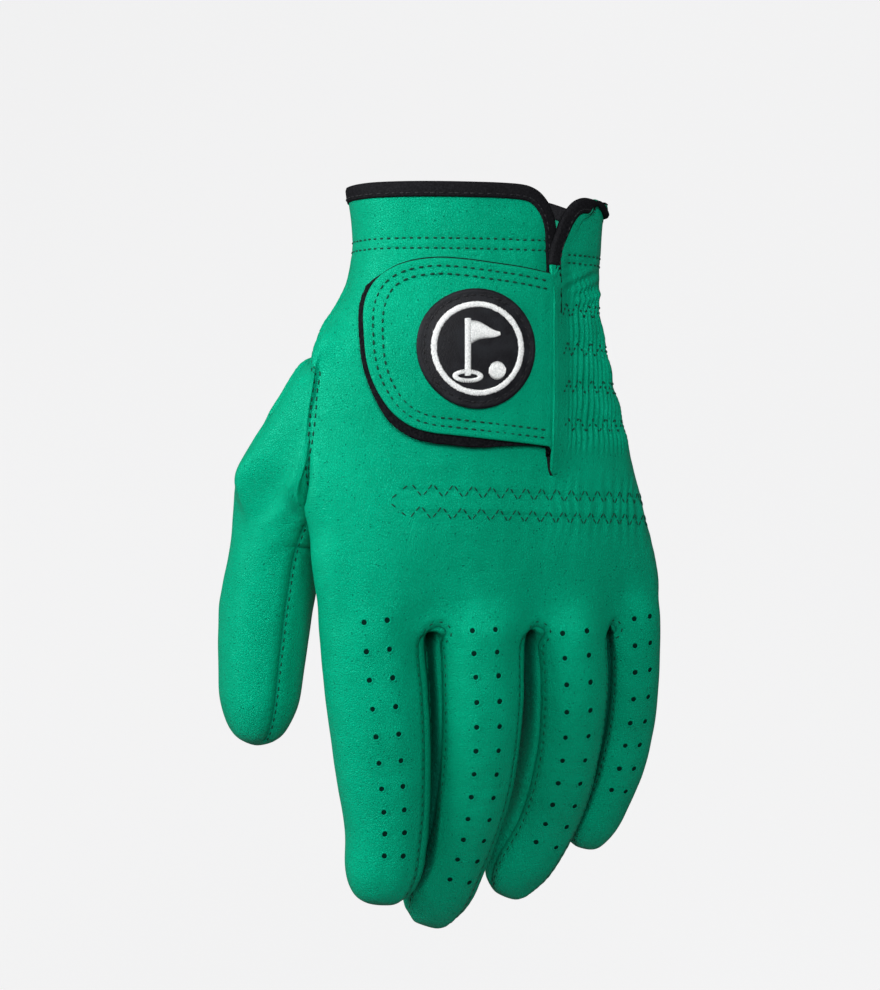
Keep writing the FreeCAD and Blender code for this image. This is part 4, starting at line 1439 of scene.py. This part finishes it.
RING_THREADS = 300
a = np.linspace(0, 2 * math.pi, RING_THREADS, endpoint=False)
jitter = RNG.uniform(-0.09, 0.09, (RING_THREADS, 2))
inner = BADGE + (10.85 + jitter[:, :1]) * np.stack([np.cos(a), np.sin(a)], 1)
outer = BADGE + (12.2 + jitter[:, 1:]) * np.stack([np.cos(a + 0.035), np.sin(a + 0.035)], 1)
ring = satin("badge_ring_threads", inner, outer, DISC_TOP + 0.16)
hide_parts("badge_ring")
closing(ring)
starts, ends = [], []
PITCH = 0.27                                               # between the emblem's threads
for z in np.arange(-7.0, 7.6, PITCH):                      # the pole
    starts.append((-3.6, z))
    ends.append((-2.1, z + 0.12))
for x in np.arange(-2.0, 5.6, PITCH):                      # the flag, with a ripple
    f = (x + 2.0) / 7.6
    ripple = 0.35 * math.sin(f * 5.5)
    starts.append((x, 7.2 - 2.5 * f + ripple))
    ends.append((x + 0.1, 1.4 + 2.5 * f + ripple))
for k in range(52):                                        # the hole
    a = 2 * math.pi * k / 52
    starts.append((-2.8 + 2.7 * math.cos(a), -7.2 + 0.7 * math.sin(a)))
    ends.append((-2.8 + 4.0 * math.cos(a + 0.05), -7.2 + 1.7 * math.sin(a + 0.05)))
for x in np.arange(-2.15, 2.2, PITCH):                     # the ball
    half = math.sqrt(max(2.3 ** 2 - x * x, 0.01))
    starts.append((5.0 + x, -5.6 - half))
    ends.append((5.1 + x, -5.6 + half))
emblem = satin("badge_emblem_threads", BADGE + starts, BADGE + ends, DISC_TOP + 0.22)
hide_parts("badge_emblem")
closing(emblem)

# ---- stage ----------------------------------------------------------------------------------
scene = bpy.context.scene
scene.view_settings.view_transform = "Standard"
scene.view_settings.look = "None"
world = bpy.data.worlds.new("world")
scene.world = world
world.use_nodes = True
world.node_tree.nodes["Background"].inputs[0].default_value = (0.95, 0.96, 0.97, 1)
world.node_tree.nodes["Background"].inputs[1].default_value = 0.17


def lamp(name, place, aim, size, power):
    """A round lamp that points at aim."""
    data = bpy.data.lights.new(name, "AREA")
    data.energy, data.shape, data.size = power, "DISK", size
    obj = bpy.data.objects.new(name, data)
    scene.collection.objects.link(obj)
    obj.location = place
    obj.rotation_euler = (Vector(aim) - Vector(place)).to_track_quat("-Z", "Y").to_euler()


TURN, DISTANCE = math.radians(-17), 0.7425     # the camera's turn round the glove, and how far off it is
forward = Vector((-math.sin(TURN), math.cos(TURN), 0))
right = Vector((math.cos(TURN), math.sin(TURN), 0))
aim = right * -0.00972 + Vector((0, 0, -0.081))
camera = bpy.data.objects.new("camera", bpy.data.cameras.new("camera"))
scene.collection.objects.link(camera)
scene.camera = camera
camera.data.lens, camera.data.sensor_width = 100, 36
camera.data.clip_start = 0.01
camera.location = aim - forward * DISTANCE
camera.rotation_euler = forward.to_track_quat("-Z", "Y").to_euler()
lamp("key", aim - forward * 0.32 - right * 0.58 + Vector((0, 0, 0.24)), aim, 0.34, 6.2)
lamp("fill", aim - forward * 0.95 + right * 0.1 + Vector((0, 0, 0.3)), aim, 0.5, 9.0)

# a pale sweep: floor far below, curving up behind
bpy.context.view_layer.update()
FLOOR_Z, CURVE = -0.75, 1.2
profile = [(-3.0, FLOOR_Z), (0.6, FLOOR_Z)]
profile += [(0.6 + CURVE * math.sin(a), FLOOR_Z + CURVE - CURVE * math.cos(a))
            for a in np.linspace(0.1, math.pi / 2, 12)]
profile += [(1.8, 4.0)]
points, faces = [], []
for depth, height in profile:
    for side in (-4.0, 4.0):
        points.append((forward * depth + right * side + Vector((0, 0, height)))[:])
for k in range(len(profile) - 1):
    faces.append((2 * k, 2 * k + 1, 2 * k + 3, 2 * k + 2))
sweep_mat = Nodes("pale_sweep")
tone = sweep_mat.noise(900, 2, 0.5)
sweep_mat.finish(sweep_mat.mix(sweep_mat.ramp(tone, 0.3, 0.7), (0.30, 0.30, 0.31), (0.33, 0.33, 0.34)), 0.95,
                 Emission_Color=(1, 1, 1, 1))
seen = sweep_mat.node("ShaderNodeLightPath").outputs["Is Camera Ray"]
sweep_mat.put(sweep_mat.shader.inputs["Emission Strength"], sweep_mat.math("MULTIPLY", seen, 0.78))
floor = add_mesh("floor", np.array(points) / MM, faces, sweep_mat.material)
